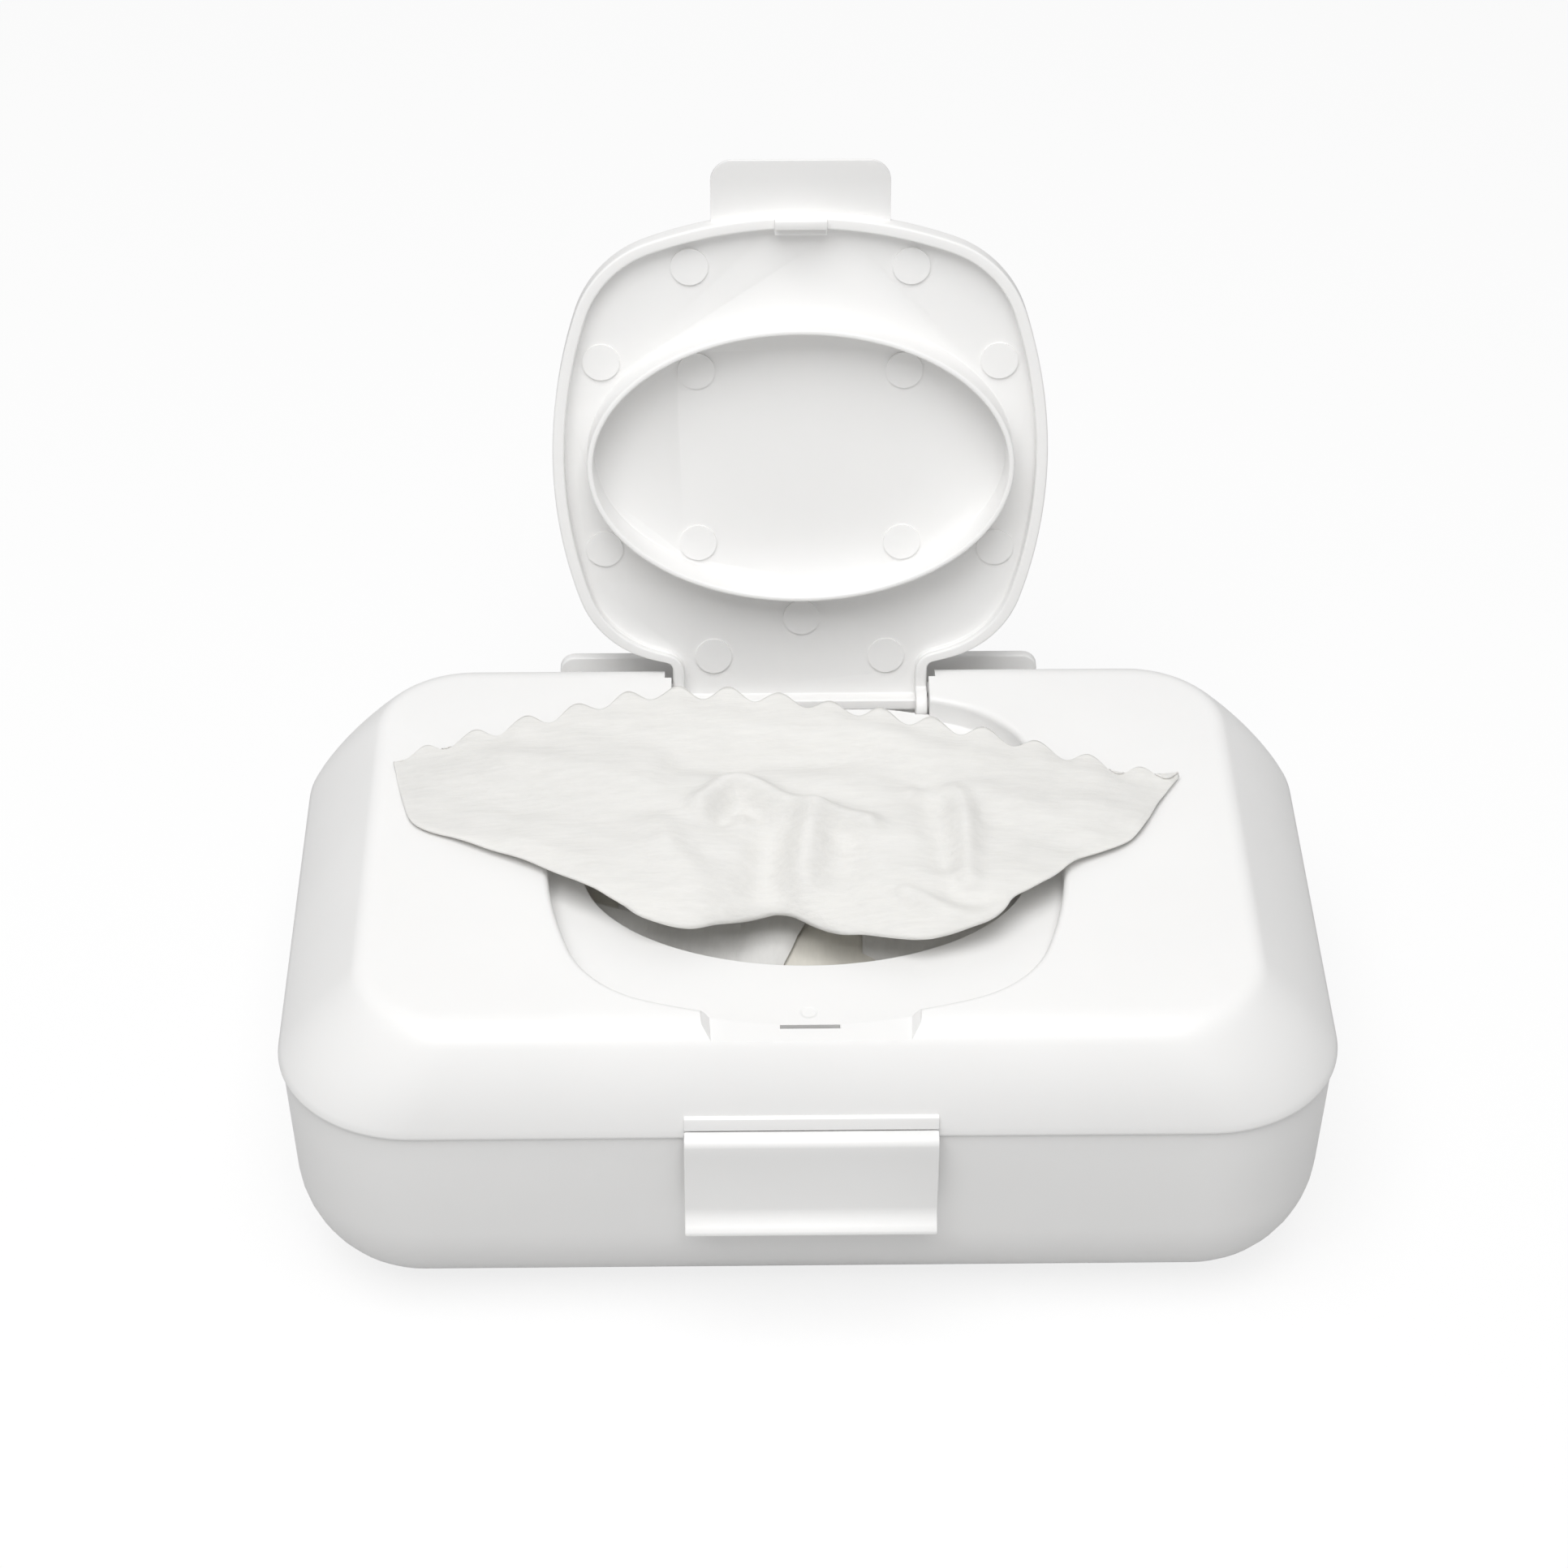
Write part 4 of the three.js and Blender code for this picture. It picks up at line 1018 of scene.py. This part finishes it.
group.links.new(to_points.outputs["Points"], place_layers.inputs["Points"])
group.links.new(layer_info.outputs["Geometry"], place_layers.inputs["Instance"])
group.links.new(index.outputs["Index"], narrow.inputs["Value"])
group.links.new(narrow.outputs["Result"], shape.inputs["X"])
group.links.new(narrow.outputs["Result"], shape.inputs["Y"])
group.links.new(shape.outputs["Vector"], place_layers.inputs["Scale"])
finish_layout(group, entry, place_layers.outputs["Instances"])
stacked_cloth = cloth_material("stacked_cloth", (0.86, 0.835, 0.77), (0.15, 1, 1), 0.25, 0.05)
layer_step = (STACK_TOP_Z - STACK_LOW_Z - LAYER_HEIGHT) / (LAYER_COUNT - 1) * MM
layer_values = {"Layer": layer, "Count": LAYER_COUNT, "Step": layer_step, "Material": stacked_cloth}
grow(stack, group, sockets, layer_values)
bpy.data.objects.remove(layer)
shade(stack, 60)
dress(stack, stacked_cloth)
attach(stack, "base")
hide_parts("wipe_stack")


# Next wipe: the loose folded ends of the following wipe, lying on the stack under the opening.
# Each is one thin sheet with a rolled edge, and the upper ones lean on the lower.
def spline(points, count):
    points = np.array(points, float)
    knots = np.concatenate([[0], np.cumsum(np.linalg.norm(np.diff(points, axis=0), axis=1) ** 0.5)])
    padded = np.concatenate([[2 * points[0] - points[1]], points, [2 * points[-1] - points[-2]]])
    steps = np.linspace(0, knots[-1], count)
    result = []
    for s in steps:
        k = min(max(int(np.searchsorted(knots, s, side="right")) - 1, 0), len(points) - 2)
        t = (s - knots[k]) / (knots[k + 1] - knots[k])
        p0, p1, p2, p3 = padded[k], padded[k + 1], padded[k + 2], padded[k + 3]
        result.append(0.5 * (2 * p1 + (p2 - p0) * t + (2 * p0 - 5 * p1 + 4 * p2 - p3) * t ** 2
                             + (3 * p1 - p0 - 3 * p2 + p3) * t ** 3))
    return np.array(result)


def cloth_sheet(name, grid, thickness):
    rows, columns = grid.shape[:2]
    faces = []
    for r in range(rows - 1):
        for c in range(columns - 1):
            a = r * columns + c
            faces.append((a, a + 1, a + columns + 1, a + columns))
    obj = make_object(name, grid.reshape(-1, 3), faces, 180)
    body = obj.modifiers.new("thickness", "SOLIDIFY")
    body.thickness = thickness * MM
    body.offset = -1
    body.use_even_offset = False
    baked(obj)
    shade(obj, 180)
    return obj


FLAP_THICKNESS = 0.3
FLAP_COLOUR = (0.92, 0.91, 0.885)
CREAM_COLOUR = (0.88, 0.85, 0.77)
flap_curves = {
    "folded_tube": (
        [(-52, -2, 51.9), (-40, -5, 53.6), (-32, -8.5, 54.4), (-24, -10, 53), (-12, -12, 52)],
        [(-53, -15, 51.9), (-43, -17, 52.6), (-34, -20, 53.2), (-25, -23, 52.6), (-13, -25, 51.9)],
    ),
    "left_layer": (
        [(-34, 6, 52.2), (-28, 2, 54.5), (-20, 0, 55.6), (-12, -2, 55.0), (-8, -4, 53.8)],
        [(-36, -30, 52.0), (-29, -29, 52.9), (-22, -27, 53.4), (-16, -26, 53.0), (-12, -26, 52.2)],
    ),
    "strip": (
        [(-10, 2, 54.5), (-6, 1, 55.9), (-2, 0.5, 56.2), (1.5, 0, 55.8), (4, -1, 54.8)],
        [(-14, -27, 52.4), (-12, -26.5, 53.2), (-9, -26, 53.7), (-7, -25, 53.6), (-5, -24, 52.8)],
    ),
    "cream_fold": (
        [(-8, 4, 52.6), (-2, 3, 53.4), (4, 3, 53.8), (10, 2, 53.9), (17, 0, 53.0)],
        [(-9, -34, 51.9), (-3, -35, 52.2), (3, -35, 52.3), (9, -34, 52.2), (14, -33, 51.9)],
    ),
    "right_flap": (
        [(10.5, 4, 55.0), (16, 3, 56.4), (23, 1, 56.2), (31, -1, 55.0), (40, -4, 53.0)],
        [(10.2, -20, 52.9), (15.5, -23, 53.8), (22, -24, 53.6), (31, -22, 53.0), (38, -18, 52.2)],
    ),
}
for name, (far_side, near_side) in flap_curves.items():
    far_line = spline(far_side, 60)
    near_line = spline(near_side, 60)
    rows = []
    for i in range(40):
        t = i / 39
        line_points = far_line + (near_line - far_line) * t
        ripple = 0.22 * np.sin(line_points[:, 0] * 0.55 + 5 * t + len(name))
        ledge = 0.5 * np.exp(-((line_points[:, 1] + 15.5) / 1.6) ** 2)
        curl = -0.9 * max(t - 0.93, 0) / 0.07
        line_points = line_points + np.stack([0 * ripple, 0 * ripple, ripple + ledge + curl], axis=1)
        line_points[:, 2] = np.clip(line_points[:, 2], 51.75, 57.9)
        rows.append(line_points)
    grid = np.array(rows)
    flap = cloth_sheet(name, grid, FLAP_THICKNESS)
    cream = name == "cream_fold"
    colour = CREAM_COLOUR if cream else FLAP_COLOUR
    dress(flap, cloth_material(name + "_cloth", colour, (1, 0.2, 1), 0.3, 0.06))
    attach(flap, "base")


# Pulled wipe: one damp nonwoven sheet drawn up through the opening and let fall over the cover.
# Its far edge is cut in scallops, its near edge is rolled and drops into the opening, and
# the pull has gathered its middle into soft folds.
WIPE_THICKNESS = 0.35
WIPE_COLOUR = (0.9, 0.89, 0.862)
WIPE_COLUMNS = 330
WIPE_ROWS = 96
WIPE_HALF = 76
WIPE_LOW_Z = 66.05
WIPE_LIFT = 7.4
WIPE_DIP = 2.6
WIPE_DIP_HALF = 38
SCALLOP_DEPTH = 1.6
SCALLOP_PITCH = 9.6
SCALLOP_START = -23.5
ON_COVER_Z = 65.95
IN_OPENING_Z = 61.6
FOLD_DEPTH = 1.35
FOLD_SPREAD = 1.5
far_edge = spline([
    (-76.9, 22.2), (-69.5, 24.4), (-61, 26.6), (-51.9, 28.8), (-42.7, 31.0), (-32.8, 33.6), (-23.5, 34.4),
    (-14, 33.3), (-4.3, 31.5), (5.1, 28.9), (15, 26.6), (24.5, 24.0), (34, 21.7), (43.6, 18.9),
    (53, 16.2), (62, 14.2), (70.1, 15.7),
], WIPE_COLUMNS)
near_edge = spline([
    (-76.9, 22.0), (-74.3, 9.3), (-71.6, 2.5), (-64.2, -1.8), (-58.1, -5.4), (-50.9, -9.5), (-37.2, -18.5),
    (-33.2, -21.3), (-29.4, -24.4), (-21.8, -25.8), (-15.8, -23.5), (-8, -19.6), (-4.9, -19.1), (-0.3, -21.6),
    (5.7, -25.6), (10.4, -26.9), (18.7, -30.0), (24.8, -29.1), (31, -27), (35.2, -23.7), (37.6, -20.5),
    (44, -15.5), (49.6, -9.9), (57.4, -5.5), (61.5, -1.0), (66.1, 8.3), (70.3, 15.5),
], WIPE_COLUMNS)
wipe_folds = [
    (((-22, 15.3), (-4.6, 15.4), (12.1, 15), (22.3, 6.5)), 2.6, -1.5),
    (((-19, 3.0), (-12.5, 8.6), (-3.1, 2.4), (11.2, -3.3)), 1.7, 1.9),
    (((-15, 0.5), (-12, 3.4), (-9, 2.0)), 1.7, -1.2),
    (((1.1, -1.7), (-0.3, -10), (-1.5, -19.3)), 2.2, 2.0),
    (((-7, -5), (-9, -17)), 2.4, -1.2),
    (((7, -6), (7, -22)), 2.6, -0.9),
    (((20.2, 6), (28.5, 2.8), (28.8, -17.4)), 1.6, 1.3),
    (((23.5, 1), (25.0, -12)), 2.2, -1.1),
    (((17.6, -20), (26.2, -25.8)), 1.3, 0.9),
    (((13, -19), (22, -26)), 1.3, -0.6),
    (((27, -19), (35, -25)), 1.8, -1.1),
    (((-30, 10), (-45, 16), (-62, 18)), 3.2, 0.8),
    (((-30, 2), (-46, 5), (-64, 7)), 3.0, -0.7),
    (((-26, -8), (-40, -10), (-54, -5)), 2.6, 0.7),
    (((-28, -2), (-20, -16)), 2.6, 0.9),
    (((34, 6), (46, 2), (60, 4)), 2.8, 0.8),
    (((36, -4), (48, -6)), 2.6, -0.6),
    (((38, 14), (54, 11)), 2.6, 0.6),
    (((14, 14), (30, 16)), 2.8, 0.8),
    (((-20, 24), (-2, 23), (18, 19)), 3.2, 0.7),
]


def distance_to(path_points, x, y):
    best = np.full(x.shape, 1e9)
    for (x0, y0), (x1, y1) in zip(path_points[:-1], path_points[1:]):
        dx = x1 - x0
        dy = y1 - y0
        t = np.clip(((x - x0) * dx + (y - y0) * dy) / (dx * dx + dy * dy), 0, 1)
        best = np.minimum(best, np.hypot(x - x0 - t * dx, y - y0 - t * dy))
    return best


share = np.linspace(0, 1, WIPE_ROWS)[:, None]
x = near_edge[:, 0] + (far_edge[:, 0] - near_edge[:, 0]) * share
y = near_edge[:, 1] + (far_edge[:, 1] - near_edge[:, 1]) * share
width_share = np.minimum(np.abs(x + 1) / WIPE_HALF, 1)
lift = WIPE_LIFT * (1 - width_share ** 2.2)
dip = WIPE_DIP * np.maximum(1 - (x / WIPE_DIP_HALF) ** 2, 0) * (1 - share) ** 2
z = WIPE_LOW_Z + lift * (0.35 + 0.65 * share) - dip
ease = np.clip((1 - width_share) * 3.2, 0.25, 1) * np.clip(share * 9, 0.25, 1)
for fold_path, fold_width, fold_height in wipe_folds:
    smooth_path = spline(fold_path, 24) if len(fold_path) > 2 else np.array(fold_path)
    away = distance_to(smooth_path, x, y) / (FOLD_SPREAD * fold_width)
    z = z + FOLD_DEPTH * fold_height * ease * np.exp(-away ** 2)
scallop = np.cos(2 * math.pi * (x - SCALLOP_START) / SCALLOP_PITCH)
scallop_share = np.clip((share - 0.9) / 0.1, 0, 1) ** 1.5
y = y + SCALLOP_DEPTH * scallop * scallop_share * np.clip((1 - width_share) * 12, 0, 1)
z = z + 0.25 * scallop * np.clip((share - 0.75) / 0.25, 0, 1)
z = z + 0.22 * np.sin(x * 0.42 + y * 0.3) * np.sin(y * 0.45 - x * 0.08 + 1)
roll_share = np.clip(1 - share * 24, 0, 1)
z = z - 1.1 * roll_share ** 2 * np.clip((WIPE_DIP_HALF - np.abs(x)) / 6, 0.15, 1)
z = z - 3.2 * np.clip(1 - share / 0.3, 0, 1) ** 1.6 * np.exp(-((x + 4) / 15) ** 2)
over_cover = np.hypot(x / 46.5, (y - RECESS_Y) / 47) > 1
z = np.where(over_cover, np.maximum(z, ON_COVER_Z), np.maximum(z, IN_OPENING_Z))
grid = np.stack([x, y, z], axis=2)
wipe = cloth_sheet("pulled_wipe_sheet", grid, WIPE_THICKNESS)
dress(wipe, cloth_material("wipe_cloth", WIPE_COLOUR, (0.14, 1, 1), 0.7, 0.06))
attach(wipe, "cover")
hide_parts("pulled_wipe")
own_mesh(wipe)
